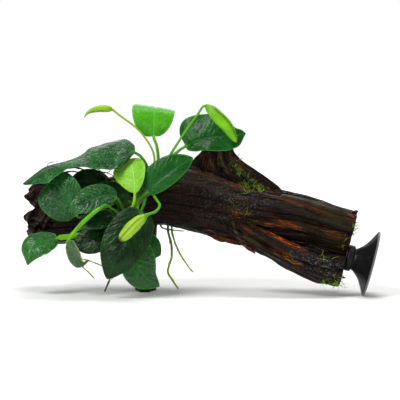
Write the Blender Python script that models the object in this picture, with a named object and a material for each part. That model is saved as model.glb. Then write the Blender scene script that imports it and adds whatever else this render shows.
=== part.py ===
# Dwarf anubias growing on a piece of driftwood, with a rubber suction cup on the sawn end of the wood.
# Units are metres with +Z up. +X runs along the log towards the suction cup, and the leaves face -Y.
# The tables are in millimetres, from a point on the floor under the middle of the log.

import math

import bmesh
import bpy
from mathutils import Matrix, Quaternion, Vector

MM = 0.001
FIT_GAP = 0.35  # clear space between two pieces that touch
FOOTPRINT_MIDDLE = (0.7, -15.0)  # the origin stands in the middle of the footprint

# The saw cut leans over and looks a little towards the leaves, and the suction cup looks the same way.
SAW_TILT = math.radians(13.6)
SAW_YAW = math.radians(5.0)
SAW_POINT = (87.3, 0.0, 45.7)

# Cup sizes: a 37 mm aquarium cup.
CUP_RADIUS = 18.5
CUP_LENGTH = 14.6
CUP_SIDES = 24
KNOB_RADIUS = 7.3
CUP_OFFSET_Y = -2.0

# Rings of the leaf loft.
RING_POINTS = 10
PETIOLE_RADIUS = 0.9
BLADE_THICKNESS = 0.9
STALK_SECTIONS = 5
BLADE_SECTIONS = 9

# Each station of a piece of wood: middle x, y, z, then half height and half depth.
TRUNK_STATIONS = (
    (-94.5, 3.0, 43.0, 13.2, 12.0),
    (-90.0, 3.0, 42.6, 16.0, 14.8),
    (-80.0, 3.0, 42.0, 16.8, 16.5),
    (-60.0, 3.0, 44.6, 15.6, 16.5),
    (-40.0, 3.0, 50.4, 15.4, 16.8),
    (-20.5, 3.0, 54.2, 17.2, 17.6),
    (-1.5, 3.5, 51.8, 18.2, 18.0),
    (14.0, 4.0, 47.6, 17.6, 18.0),
    (30.0, 4.5, 44.0, 16.2, 17.5),
    (55.0, 5.0, 40.8, 14.2, 16.0),
    (75.0, 5.0, 35.6, 13.5, 15.0),
    (96.0, 5.0, 30.8, 13.1, 14.0),
)
LIMB_STATIONS = (
    (14.0, -5.0, 40.0, 3.0, 6.0),
    (21.0, -7.0, 36.0, 5.6, 10.0),
    (31.5, -7.0, 30.6, 6.4, 12.5),
    (41.0, -7.0, 25.9, 6.6, 13.5),
    (50.5, -6.0, 21.3, 7.3, 14.0),
    (66.0, -5.0, 15.8, 8.6, 14.0),
    (77.0, -4.0, 13.8, 8.6, 13.5),
    (92.0, -4.0, 11.2, 8.0, 13.0),
)
# The broken branch on top: middle x, y, z, then half length along the log and half depth.
BRANCH_STATIONS = (
    (17.5, 8.0, 52.0, 27.0, 9.5),
    (17.0, 8.0, 58.3, 25.5, 9.0),
    (13.8, 8.0, 64.2, 21.6, 8.8),
    (10.2, 8.0, 69.4, 17.8, 8.5),
    (8.2, 7.8, 74.2, 12.8, 8.0),
    (8.4, 7.4, 78.8, 8.8, 7.4),
    (9.2, 7.0, 83.2, 6.8, 6.4),
)
# The spur under the log that it stands on, behind the leaves.
SPUR_STATIONS = (
    (-31.0, 6.0, 44.0, 6.5, 11.0),
    (-31.0, 6.0, 34.0, 5.6, 11.0),
    (-30.4, 7.5, 22.0, 4.6, 11.5),
    (-30.6, 9.0, 10.0, 4.8, 14.0),
    (-31.0, 9.5, -1.0, 5.8, 16.5),
)
RHIZOME_POINTS = (
    (-51.0, -13.6, 39.5),
    (-45.0, -15.6, 44.0),
    (-38.0, -16.7, 49.5),
    (-31.0, -16.6, 56.5),
    (-24.0, -14.4, 64.0),
)
RHIZOME_RADIUS = 3.2

# A leaf has a stem, a midrib from the blade's base to its tip, the way its upper side faces at the base,
# its two half widths with the tip up, how far along it is widest, how many degrees it turns by halfway,
# and how far its margins fold up, droop, and wave.
# The lobe is how far the rounded corners reach back past the base.
LEAVES = {
    "leaf_long_top": {
        "stem": ((-31.5, -16.8, 56.0), (-30.6, -21.5, 64.5), (-30.2, -22.5, 70.5), (-33.0, -23.8, 75.4)),
        "midrib": ((-36.4, -24.8, 77.8), (-44.0, -25.0, 80.7), (-53.0, -25.4, 79.0), (-66.0, -26.6, 74.2),
                   (-82.0, -29.4, 68.8), (-95.6, -32.5, 60.2)),
        "face": (0.1, -0.74, 0.67), "halves": (14.0, 12.8), "peak": 0.4, "turn": 32.0, "lobe": 0.0,
        "fold": 0.0, "droop": 0.24, "wave": 1.3, "waves": 2.6,
    },
    "leaf_round_left": {
        "stem": ((-49.6, -14.0, 40.6), (-54.5, -19.0, 43.4), (-60.0, -24.0, 43.2), (-64.3, -28.0, 41.8)),
        "midrib": ((-66.7, -30.6, 42.2), (-72.0, -31.8, 50.0), (-77.4, -30.2, 57.0), (-80.8, -25.2, 61.0)),
        "face": (-0.3, -0.92, 0.25), "halves": (14.0, 10.0), "peak": 0.54, "turn": 0.0, "lobe": 0.24,
        "fold": 0.1, "droop": 0.1, "wave": 0.5, "waves": 2.0,
    },
    "leaf_mid_left": {
        "stem": ((-42.6, -15.9, 46.0), (-42.8, -24.8, 47.6), (-43.8, -30.2, 50.8)),
        "midrib": ((-45.6, -33.5, 53.6), (-52.0, -36.5, 55.0), (-60.5, -39.0, 52.2), (-70.0, -41.0, 46.4)),
        "face": (-0.1, -0.84, 0.52), "halves": (7.6, 7.6), "peak": 0.42, "turn": 0.0, "lobe": 0.24,
        "fold": 0.1, "droop": 0.15, "wave": 0.5, "waves": 2.0,
    },
    "leaf_dark_middle": {
        "stem": ((-36.8, -16.6, 50.9), (-37.2, -21.4, 51.0),),
        "midrib": ((-39.4, -23.2, 51.2), (-45.6, -25.0, 54.8), (-53.0, -26.2, 57.0), (-60.5, -27.2, 57.2)),
        "face": (0.0, -0.9, 0.42), "halves": (3.6, 6.4), "peak": 0.42, "turn": 0.0, "lobe": 0.24,
        "fold": 0.1, "droop": 0.1, "wave": 0.4, "waves": 2.0,
    },
    "leaf_shaded_back": {
        "stem": ((-43.6, -16.0, 45.2), (-46.4, -17.4, 51.0), (-48.0, -17.6, 54.4)),
        "midrib": ((-50.4, -17.8, 57.0), (-57.0, -18.4, 59.8), (-63.5, -19.0, 60.4), (-70.5, -20.0, 58.8)),
        "face": (0.0, -0.95, 0.3), "halves": (8.0, 7.2), "peak": 0.5, "turn": 0.0, "lobe": 0.24,
        "fold": 0.08, "droop": 0.1, "wave": 0.3, "waves": 2.0,
    },
    "leaf_lime_upright": {
        "stem": ((-43.2, -15.8, 44.6), (-42.4, -21.8, 42.4), (-38.8, -29.6, 45.8), (-36.2, -33.2, 51.6)),
        "midrib": ((-35.8, -34.2, 56.3), (-36.2, -33.6, 62.4), (-37.4, -29.0, 68.8), (-39.6, -21.6, 74.2)),
        "face": (-0.15, -0.98, 0.1), "halves": (9.4, 6.6), "peak": 0.5, "turn": 0.0, "lobe": 0.24,
        "fold": 0.08, "droop": 0.1, "wave": 0.3, "waves": 2.0,
    },
    "leaf_broad_right": {
        "stem": ((-40.2, -16.2, 47.8), (-38.4, -23.4, 47.8), (-35.0, -28.0, 51.6)),
        "midrib": ((-29.9, -30.2, 56.8), (-22.4, -31.4, 64.0), (-13.6, -31.5, 70.5), (-5.2, -28.5, 75.8)),
        "face": (0.15, -0.93, 0.34), "halves": (9.6, 6.2), "peak": 0.42, "turn": 0.0, "lobe": 0.05,
        "fold": 0.08, "droop": 0.12, "wave": 0.3, "waves": 2.0,
    },
    "leaf_top_right": {
        "stem": ((-24.8, -14.4, 63.0), (-18.5, -14.4, 74.0), (-13.4, -14.2, 79.0)),
        "midrib": ((-9.6, -14.5, 81.6), (-1.4, -16.5, 85.6), (11.0, -17.6, 87.6), (23.2, -17.0, 89.2)),
        "face": (-0.05, -0.92, 0.38), "halves": (13.2, 6.8), "peak": 0.4, "turn": 0.0, "lobe": 0.24,
        "fold": 0.08, "droop": 0.1, "wave": 0.8, "waves": 2.6,
    },
    "leaf_bright_top": {
        "stem": ((-27.0, -15.0, 60.6), (-25.4, -12.8, 68.0), (-24.4, -12.4, 75.0), (-25.4, -13.0, 82.0)),
        "midrib": ((-27.0, -14.0, 88.0), (-27.0, -16.6, 95.2), (-26.7, -13.0, 101.6), (-26.4, -3.0, 102.8),
                   (-26.0, 5.0, 99.4)),
        "face": (0.05, -1.0, 0.1), "halves": (12.2, 11.0), "peak": 0.4, "turn": 0.0, "lobe": 0.3,
        "fold": 0.0, "droop": 0.02, "wave": 0.2, "waves": 2.0,
    },
    "leaf_drooping_left": {
        "stem": ((-50.6, -13.6, 39.8), (-56.5, -18.4, 35.8), (-64.0, -21.6, 33.4), (-70.4, -26.6, 32.2)),
        "midrib": ((-77.1, -29.5, 31.4), (-84.0, -32.4, 30.2), (-90.0, -35.0, 26.8), (-92.3, -36.0, 17.2)),
        "face": (-0.1, -0.75, 0.65), "halves": (8.6, 7.2), "peak": 0.46, "turn": 0.0, "lobe": 0.1,
        "fold": 0.1, "droop": 0.2, "wave": 0.3, "waves": 2.0,
    },
    "leaf_curled_tip": {
        "stem": ((-48.6, -14.2, 41.4), (-50.4, -19.0, 45.4), (-54.6, -25.6, 43.4), (-61.2, -29.8, 38.2),
                 (-67.0, -33.4, 36.0), (-69.6, -35.0, 33.4)),
        "midrib": ((-69.8, -35.4, 30.4), (-68.2, -36.4, 24.0), (-64.9, -36.2, 17.9), (-60.0, -34.2, 20.4)),
        "face": (-0.8, -0.55, 0.0), "halves": (5.5, 5.5), "peak": 0.4, "turn": 0.0, "lobe": 0.1,
        "fold": 0.2, "droop": 0.0, "wave": 0.2, "waves": 2.0,
    },
    "leaf_under_left": {
        "stem": ((-47.6, -14.6, 42.3), (-47.9, -22.5, 43.0),),
        "midrib": ((-48.4, -27.5, 44.2), (-53.2, -31.5, 43.6), (-60.0, -33.5, 41.4), (-65.6, -34.4, 39.0)),
        "face": (-0.05, -0.85, 0.5), "halves": (7.4, 5.2), "peak": 0.42, "turn": 0.0, "lobe": 0.1,
        "fold": 0.1, "droop": 0.1, "wave": 0.3, "waves": 2.0,
    },
    "leaf_low_left": {
        "stem": ((-46.2, -14.8, 43.0), (-45.6, -19.4, 39.8),),
        "midrib": ((-46.0, -23.4, 38.0), (-52.0, -26.6, 34.8), (-59.6, -28.2, 31.0), (-68.0, -28.4, 27.4)),
        "face": (0.0, -0.93, 0.35), "halves": (9.0, 7.2), "peak": 0.52, "turn": 0.0, "lobe": 0.2,
        "fold": 0.08, "droop": 0.1, "wave": 0.3, "waves": 2.0,
    },
    "leaf_front_dark": {
        "stem": ((-32.2, -16.6, 55.2), (-30.6, -25.0, 54.6), (-30.4, -31.5, 52.4)),
        "midrib": ((-32.0, -36.5, 47.6), (-36.8, -41.0, 37.6), (-43.4, -44.0, 24.4), (-49.2, -43.5, 11.4)),
        "face": (0.1, -0.95, 0.3), "halves": (12.2, 12.0), "peak": 0.42, "turn": 0.0, "lobe": 0.24,
        "fold": 0.08, "droop": 0.12, "wave": 0.4, "waves": 2.0,
    },
    "leaf_low_right": {
        "stem": ((-35.4, -16.6, 52.1), (-35.0, -22.5, 44.5), (-34.6, -24.0, 37.0)),
        "midrib": ((-34.4, -24.8, 31.0), (-34.6, -28.6, 22.0), (-31.0, -29.5, 12.2), (-22.0, -27.5, 6.0)),
        "face": (0.05, -0.96, 0.3), "halves": (9.8, 9.8), "peak": 0.4, "turn": 0.0, "lobe": 0.24,
        "fold": 0.06, "droop": 0.12, "wave": 0.3, "waves": 2.0,
    },
    "leaf_behind_right": {
        "stem": ((-39.2, -16.2, 48.5), (-39.4, -18.4, 42.0), (-40.6, -18.2, 33.0)),
        "midrib": ((-38.2, -16.6, 27.0), (-32.4, -17.5, 26.4), (-26.6, -18.0, 25.0), (-22.0, -16.5, 22.0)),
        "face": (0.1, -0.98, 0.15), "halves": (8.4, 8.2), "peak": 0.42, "turn": 0.0, "lobe": 0.2,
        "fold": 0.05, "droop": 0.1, "wave": 0.2, "waves": 2.0,
    },
}

# A spathe is a closed bract on a stalk, and the rolled leaf has the same form.
SPATHES = {
    "spathe_top_left": {
        "stalk": ((-29.4, -16.6, 58.2), (-27.6, -19.6, 66.0), (-26.2, -18.8, 74.8), (-29.0, -18.6, 82.4),
                  (-35.6, -19.8, 90.7), (-45.1, -22.0, 97.7)),
        "pod": ((-49.4, -23.0, 100.6), (-54.6, -24.0, 101.4), (-60.0, -25.0, 100.2), (-63.9, -26.0, 96.6)),
        "radius": 2.2, "stalk_radius": 0.85,
    },
    "spathe_top_right": {
        "stalk": ((-26.4, -15.6, 61.4), (-22.2, -20.4, 69.0), (-15.6, -23.6, 80.2), (-8.4, -25.4, 91.6),
                  (-3.0, -26.6, 99.2)),
        "pod": ((0.8, -27.2, 103.6), (7.3, -29.4, 98.2), (13.4, -30.0, 91.8), (17.9, -29.0, 84.6)),
        "radius": 3.4, "stalk_radius": 0.95,
    },
    "spathe_centre": {
        "stalk": ((-30.4, -16.6, 57.2), (-27.4, -24.5, 56.4), (-24.2, -33.5, 53.2), (-22.2, -39.6, 50.4),
                  (-24.2, -45.4, 47.6)),
        "pod": ((-28.6, -49.5, 45.9), (-33.8, -52.0, 41.9), (-38.3, -53.0, 37.0), (-42.1, -52.5, 32.6)),
        "radius": 3.9, "stalk_radius": 1.05,
    },
    "leaf_rolled": {
        "stalk": ((-45.4, -15.6, 43.7), (-45.0, -24.4, 45.6), (-45.4, -31.5, 46.4), (-47.2, -39.6, 48.2)),
        "pod": ((-50.5, -44.0, 50.2), (-55.6, -46.0, 47.1), (-64.0, -45.0, 39.3), (-71.4, -42.0, 30.0)),
        "radius": 1.5, "stalk_radius": 0.9,
    },
}

# Roots and one old stem: the line that each follows and its radius where it starts.
ROOTS = {
    "root_long": (((-18.7, -2.0, 42.0), (-18.4, -2.0, 33.6), (-16.6, -2.0, 26.6), (-16.3, -2.0, 19.6),
                   (-18.2, -2.0, 11.6), (-15.6, -2.0, 6.6), (-12.2, -2.0, 1.6)), 0.65),
    "root_slanting": (((-17.0, -2.5, 42.0), (-15.8, -2.5, 31.6), (-12.2, -2.5, 22.6), (-6.4, -2.5, 13.8),
                       (-3.9, -2.5, 11.4)), 0.55),
    "root_level": (((-22.5, 1.0, 41.0), (-22.2, 0.5, 35.9), (-16.0, 0.0, 34.6), (-9.6, 0.0, 34.1)), 0.45),
    "root_low_left": (((-70.0, -4.0, 32.0), (-71.0, -14.0, 25.0), (-68.6, -20.0, 19.6), (-64.5, -22.0, 15.6),
                       (-61.0, -23.0, 12.6), (-57.6, -24.0, 9.4)), 0.5),
    "root_under_leaf": (((-68.0, -4.0, 32.0), (-69.2, -12.6, 25.6), (-66.8, -18.2, 20.2),
                         (-61.6, -20.0, 18.6), (-56.6, -20.5, 17.0), (-53.4, -21.0, 15.6),
                         (-52.8, -21.5, 13.6)), 0.45),
    "root_behind_front_leaf": (((-45.0, -4.0, 38.0), (-47.0, -12.0, 26.0), (-48.5, -18.0, 12.4),
                                (-50.6, -18.5, 5.8), (-52.2, -18.5, 1.6)), 0.6),
    "old_stem": (((-30.0, -9.0, 62.0), (-35.0, -13.0, 68.0), (-45.6, -15.0, 69.8), (-54.6, -15.5, 70.6),
                  (-61.0, -15.5, 72.0)), 0.8),
}

# Colour as linear red, green and blue, then roughness.
DARK_LEAF = ((0.018, 0.098, 0.024), 0.34)
MID_LEAF = ((0.035, 0.17, 0.035), 0.34)
BRIGHT_LEAF = ((0.1, 0.36, 0.03), 0.36)
LIME_LEAF = ((0.25, 0.52, 0.06), 0.4)
LIME_BRACT = ((0.36, 0.55, 0.05), 0.42)
LEAF_COLOURS = {
    "leaf_lime_upright": LIME_LEAF,
    "leaf_bright_top": BRIGHT_LEAF,
    "leaf_drooping_left": MID_LEAF,
    "leaf_low_right": MID_LEAF,
    "leaf_broad_right": MID_LEAF,
    "leaf_rolled": BRIGHT_LEAF,
}
WOOD = ((0.035, 0.017, 0.01), 0.7)
RHIZOME_GREEN = ((0.1, 0.14, 0.03), 0.6)
ROOT_GREEN = ((0.09, 0.13, 0.02), 0.6)
RUBBER = ((0.012, 0.012, 0.013), 0.38)


def clear_scene():
    for obj in list(bpy.data.objects):
        bpy.data.objects.remove(obj)


def new_material(name, finish):
    colour, roughness = finish
    material = bpy.data.materials.new(name)
    material.use_nodes = True
    shader = material.node_tree.nodes["Principled BSDF"]
    shader.inputs["Base Color"].default_value = (*colour, 1.0)
    shader.inputs["Roughness"].default_value = roughness
    shader.inputs["Metallic"].default_value = 0.0
    return material


def place_mesh(name, bm, finish, smooth=True):
    """Turns a bmesh in millimetres into an object in metres, with the origin at the footprint's middle."""
    bmesh.ops.recalc_face_normals(bm, faces=bm.faces)
    middle = Vector((*FOOTPRINT_MIDDLE, 0.0))
    bm.transform(Matrix.Scale(MM, 4) @ Matrix.Translation(-middle))
    mesh = bpy.data.meshes.new(name)
    bm.to_mesh(mesh)
    bm.free()
    if smooth:
        mesh.shade_smooth()
        mesh.set_sharp_from_angle(angle=math.radians(50))
    obj = bpy.data.objects.new(name, mesh)
    bpy.context.scene.collection.objects.link(obj)
    if finish is not None:
        mesh.materials.append(new_material(name, finish))
    return obj


def place_cutter(name, bm):
    cutter = place_mesh(name, bm, None, smooth=False)
    cutter.hide_render = True
    cutter.display_type = "WIRE"
    return cutter


def cut_away(obj, cutter):
    modifier = obj.modifiers.new("clear of " + cutter.name, "BOOLEAN")
    modifier.operation = "DIFFERENCE"
    modifier.object = cutter


def spline_point(rows, position):
    """Catmull-Rom value at a position along rows of equal length, where row k is at position k."""
    last = len(rows) - 1
    k = min(int(position), last - 1)
    t = position - k
    b, c = rows[k], rows[k + 1]
    a = rows[k - 1] if k > 0 else [2 * p - q for p, q in zip(b, c)]
    d = rows[k + 2] if k + 2 <= last else [2 * q - p for p, q in zip(b, c)]
    return [
        0.5 * (2 * q + (r - p) * t + (2 * p - 5 * q + 4 * r - s) * t**2 + (3 * q - p - 3 * r + s) * t**3)
        for p, q, r, s in zip(a, b, c, d)
    ]


def even_positions(points, first, last, shares):
    """Positions between control points first and last that lie at the given shares of the length."""
    steps = 24 * (last - first)
    grid = [first + (last - first) * i / steps for i in range(steps + 1)]
    line = [Vector(spline_point(points, p)) for p in grid]
    reach = [0.0]
    for a, b in zip(line, line[1:]):
        reach.append(reach[-1] + (b - a).length)
    positions = []
    for share in shares:
        goal = share * reach[-1]
        i = next((i for i in range(1, len(reach)) if reach[i] >= goal), len(reach) - 1)
        part = (goal - reach[i - 1]) / max(reach[i] - reach[i - 1], 1e-9)
        positions.append(grid[i - 1] + (grid[i] - grid[i - 1]) * min(part, 1.0))
    return positions


def tangents_of(line):
    last = len(line) - 1
    return [(line[min(i + 1, last)] - line[max(i - 1, 0)]).normalized() for i in range(last + 1)]


def carried_normals(tangents, start, normal):
    """The normal at one point of a line, carried to all its points with no twist."""
    normals = [None] * len(tangents)
    normals[start] = (normal - normal.dot(tangents[start]) * tangents[start]).normalized()
    for order in (range(start + 1, len(tangents)), range(start - 1, -1, -1)):
        for i in order:
            near = i - 1 if i > start else i + 1
            turn = tangents[near].rotation_difference(tangents[i])
            carried = turn @ normals[near]
            normals[i] = (carried - carried.dot(tangents[i]) * tangents[i]).normalized()
    return normals


def add_loft(bm, rings, hollow_point=None):
    """Skins rings of equal size and closes both ends, the first one round a sunken point if one is given."""
    loops = [[bm.verts.new(point) for point in ring] for ring in rings]
    count = len(loops[0])
    for a, b in zip(loops, loops[1:]):
        for i in range(count):
            j = (i + 1) % count
            bm.faces.new((a[i], a[j], b[j], b[i]))
    if hollow_point is None:
        bm.faces.new(loops[0][::-1])
    else:
        hub = bm.verts.new(hollow_point)
        for i in range(count):
            bm.faces.new((hub, loops[0][(i + 1) % count], loops[0][i]))
    bm.faces.new(loops[-1])


def round_ring(centre, normal, side, radius, points=RING_POINTS):
    """A ring in the leaf's order of points: along the upper side from left to right, then back below."""
    ring = []
    for i in range(points):
        angle = math.pi * (1 - (2 * i + 1) / points)
        ring.append(centre + radius * (math.cos(angle) * side + math.sin(angle) * normal))
    return ring


def blade_share(t, peak):
    """Half width of an ovate blade at share t of its length, as a share of the widest."""
    rise = 0.5
    fall = rise * (1 - peak) / peak
    return (t / peak) ** rise * ((1 - t) / (1 - peak)) ** fall


def blade_ring(centre, tangent, normal, side, t, leaf):
    shape = max(blade_share(t, leaf["peak"]), 0.06)
    per_side = RING_POINTS // 2
    across = [-1 + 2 * i / (per_side - 1) for i in range(per_side)]
    ring = []
    for direction, row in ((1, across), (-1, across[::-1])):
        for s in row:
            half = shape * leaf["halves"][0 if s < 0 else 1]
            lift = half * (leaf["fold"] * abs(s) - leaf["droop"] * s * s)
            ripple = math.sin(2 * math.pi * leaf["waves"] * t + 1.3 * s)
            lift += leaf["wave"] * ripple * s * s * math.sqrt(1 - t)
            lobe = -leaf["lobe"] * half * abs(s) ** 1.6 * (1 - t) ** 4
            thick = 0.5 * BLADE_THICKNESS * (1 - 0.25 * s * s)
            ring.append(centre + half * s * side + lobe * tangent + (lift + direction * thick) * normal)
    return ring


def build_leaf(name, leaf):
    points = [*leaf["stem"], *leaf["midrib"]]
    base = len(leaf["stem"])
    stem_shares = [i / STALK_SECTIONS for i in range(STALK_SECTIONS)]
    turns = [math.pi * (i + 0.35) / (BLADE_SECTIONS - 0.3) for i in range(BLADE_SECTIONS)]
    blade_shares = [0.5 - 0.5 * math.cos(turn) for turn in turns]
    positions = even_positions(points, 0, base, stem_shares)
    positions += [float(base)] + even_positions(points, base, len(points) - 1, blade_shares)
    line = [Vector(spline_point(points, p)) for p in positions]
    tangents = tangents_of(line)
    normals = carried_normals(tangents, len(stem_shares) + 1, Vector(leaf["face"]))
    rings = []
    for i, (centre, tangent, normal) in enumerate(zip(line, tangents, normals)):
        share = 0.0 if i <= len(stem_shares) else blade_shares[i - len(stem_shares) - 1]
        normal = Quaternion(tangent, math.radians(leaf["turn"] * min(1.0, 2 * share))) @ normal
        side = tangent.cross(normal).normalized()
        if i <= len(stem_shares):
            radius = PETIOLE_RADIUS * (1.15 - 0.3 * i / len(stem_shares))
            rings.append(round_ring(centre, normal, side, radius))
        else:
            rings.append(blade_ring(centre, tangent, normal, side, share, leaf))
    bm = bmesh.new()
    add_loft(bm, rings)
    return place_mesh(name, bm, LEAF_COLOURS.get(name, DARK_LEAF))


def pod_share(t):
    """Radius of a closed bract at share t of its length, as a share of the widest."""
    rise, fall = 0.45, 0.62
    peak = rise / (rise + fall)
    return (t / peak) ** rise * ((1 - t) / (1 - peak)) ** fall


def build_spathe(name, spathe):
    points = [*spathe["stalk"], *spathe["pod"]]
    base = len(spathe["stalk"])
    stalk_shares = [i / 6 for i in range(7)]
    pod_shares = [0.04, 0.14, 0.3, 0.48, 0.66, 0.82, 0.94, 0.99]
    positions = even_positions(points, 0, base, stalk_shares)
    positions += even_positions(points, base, len(points) - 1, pod_shares)
    line = [Vector(spline_point(points, p)) for p in positions]
    tangents = tangents_of(line)
    normals = carried_normals(tangents, 0, Vector((0.0, -1.0, 0.2)))
    radii = [spathe["stalk_radius"] * (1.15 - 0.25 * share) for share in stalk_shares]
    radii += [max(spathe["radius"] * pod_share(share), 0.35) for share in pod_shares]
    rings = [
        round_ring(centre, normal, tangent.cross(normal).normalized(), radius, points=8)
        for centre, tangent, normal, radius in zip(line, tangents, normals, radii)
    ]
    bm = bmesh.new()
    add_loft(bm, rings)
    return place_mesh(name, bm, LEAF_COLOURS.get(name, LIME_BRACT))


def build_root(name, points, radius):
    shares = [i / 7 for i in range(8)]
    line = [Vector(spline_point(points, p)) for p in even_positions(points, 0, len(points) - 1, shares)]
    tangents = tangents_of(line)
    normals = carried_normals(tangents, 0, Vector((0.0, -1.0, 0.3)))
    rings = [
        round_ring(centre, normal, tangent.cross(normal).normalized(), radius * (1 - 0.55 * share), points=5)
        for centre, tangent, normal, share in zip(line, tangents, normals, shares)
    ]
    bm = bmesh.new()
    add_loft(bm, rings)
    return place_mesh(name, bm, ROOT_GREEN)


def rhizome_mesh(grow):
    """The creeping stem, ringed by leaf scars. Grown a little, it keeps the leaf stems clear of itself."""
    sections = 15
    shares = [i / (sections - 1) for i in range(sections)]
    line = [Vector(spline_point(RHIZOME_POINTS, p)) for p in even_positions(RHIZOME_POINTS, 0, 4, shares)]
    tangents = tangents_of(line)
    normals = carried_normals(tangents, 0, Vector((0.0, -1.0, 0.0)))
    rings = []
    for i, (centre, tangent, normal) in enumerate(zip(line, tangents, normals)):
        scar = 1.0 if i % 2 else 0.9
        ends = math.sqrt(max(1 - (2 * shares[i] - 1) ** 6, 0.16))
        radius = RHIZOME_RADIUS * scar * ends + grow
        rings.append(round_ring(centre, normal, tangent.cross(normal).normalized(), radius))
    rings[0] = [point - grow * tangents[0] for point in rings[0]]
    rings[-1] = [point + grow * tangents[-1] for point in rings[-1]]
    bm = bmesh.new()
    add_loft(bm, rings)
    bmesh.ops.recalc_face_normals(bm, faces=bm.faces)
    return bm


def wood_ring(station, across, sides, ridges, share, grow):
    """One ring of weathered wood. Ridges are waves round the ring that wander along the grain."""
    x, y, z, half_across, half_depth = station
    depth_axis = Vector((0.0, 1.0, 0.0))
    ring = []
    for i in range(sides):
        angle = 2 * math.pi * i / sides
        bulge = 1.0
        for count, height, wander, start in ridges:
            bulge += height * math.cos(count * angle + wander * share + start)
        offset = (half_across * bulge + grow) * math.cos(angle) * across
        offset += (half_depth * bulge + grow) * math.sin(angle) * depth_axis
        ring.append(Vector((x, y, z)) + offset)
    return ring


def wood_mesh(stations, sections, sides, ridges, upright=False, jagged=0.0, grow=0.0):
    """Lofts rings square to the wood's own line. A jagged start has teeth where the wood broke."""
    rows = [list(station) for station in stations]
    last = len(rows) - 1
    samples = [spline_point(rows, last * i / (sections - 1)) for i in range(sections)]
    line = [Vector(row[:3]) for row in samples]
    tangents = tangents_of(line)
    rings = []
    for i, (row, tangent) in enumerate(zip(samples, tangents)):
        share = i / (sections - 1)
        across = Vector((1.0, 0.0, 0.0)) if upright else Vector((-tangent.z, 0.0, tangent.x)).normalized()
        ring = wood_ring(row, across, sides, ridges, share, grow)
        fade = max(0.0, 1 - share * 10)
        if jagged and fade:
            for k in range(sides):
                angle = 2 * math.pi * k / sides
                tooth = 0.5 + 0.5 * math.cos(6.8 * (math.cos(angle) - 0.74)) + 0.15 * math.sin(5 * angle)
                length = 0.8 + 0.25 * math.cos(angle)
                ring[k] = ring[k] - tangent * (jagged * fade * tooth * length)
        rings.append(ring)
    if grow:
        rings[0] = [point - grow * tangents[0] for point in rings[0]]
        rings[-1] = [point + grow * tangents[-1] for point in rings[-1]]
    bm = bmesh.new()
    add_loft(bm, rings, line[0] + (3.0 - grow) * tangents[0] if jagged else None)
    bmesh.ops.recalc_face_normals(bm, faces=bm.faces)
    return bm


def saw_normal():
    flat = math.cos(SAW_TILT)
    return Vector((flat * math.cos(SAW_YAW), -flat * math.sin(SAW_YAW), -math.sin(SAW_TILT)))


def saw_off(bm):
    """Cuts the wood square to the suction cup's axis and closes the sawn face."""
    cut = bmesh.ops.bisect_plane(
        bm, geom=[*bm.verts, *bm.edges, *bm.faces], dist=1e-5,
        plane_co=Vector(SAW_POINT), plane_no=saw_normal(), clear_outer=True,
    )
    edges = [item for item in cut["geom_cut"] if isinstance(item, bmesh.types.BMEdge)]
    bmesh.ops.edgeloop_fill(bm, edges=edges)
    return bm


def level_off(bm):
    """Cuts the spur flat where it stands on the floor."""
    cut = bmesh.ops.bisect_plane(
        bm, geom=[*bm.verts, *bm.edges, *bm.faces], dist=1e-5,
        plane_co=Vector((0.0, 0.0, 0.0)), plane_no=Vector((0.0, 0.0, -1.0)), clear_outer=True,
    )
    edges = [item for item in cut["geom_cut"] if isinstance(item, bmesh.types.BMEdge)]
    if edges:
        bmesh.ops.edgeloop_fill(bm, edges=edges)
    return bm


TRUNK_RIDGES = ((3, 0.035, 2.0, 0.4), (5, 0.035, -3.0, 1.0), (9, 0.05, 4.0, 2.0))  # nine ribs, 11 mm apart
LIMB_RIDGES = ((3, 0.05, 1.0, 0.0), (7, 0.05, 2.0, 1.0))
BRANCH_RIDGES = ((4, 0.04, 0.5, 0.0), (7, 0.06, 0.8, 1.0))


def trunk_mesh(grow=0.0):
    return wood_mesh(TRUNK_STATIONS, 20, 36, TRUNK_RIDGES, jagged=5.0, grow=grow)


def build_wood():
    trunk = place_mesh("driftwood_trunk", saw_off(trunk_mesh()), WOOD)
    trunk_cutter = place_cutter("trunk_clearance", trunk_mesh(grow=1.2 * FIT_GAP))

    limb_bm = wood_mesh(LIMB_STATIONS, 14, 16, LIMB_RIDGES)
    limb = place_mesh("driftwood_lower_limb", saw_off(limb_bm), WOOD)
    cut_away(limb, trunk_cutter)

    branch_bm = wood_mesh(BRANCH_STATIONS, 8, 14, BRANCH_RIDGES, upright=True)
    branch = place_mesh("driftwood_branch_stump", branch_bm, WOOD)
    cut_away(branch, trunk_cutter)

    spur_bm = wood_mesh(SPUR_STATIONS, 8, 14, BRANCH_RIDGES, upright=True)
    spur = place_mesh("driftwood_spur", level_off(spur_bm), WOOD)
    cut_away(spur, trunk_cutter)
    return trunk_cutter


def build_rhizome(trunk_cutter):
    rhizome = place_mesh("rhizome", rhizome_mesh(0.0), RHIZOME_GREEN)
    cut_away(rhizome, trunk_cutter)
    return place_cutter("rhizome_clearance", rhizome_mesh(FIT_GAP))


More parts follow.
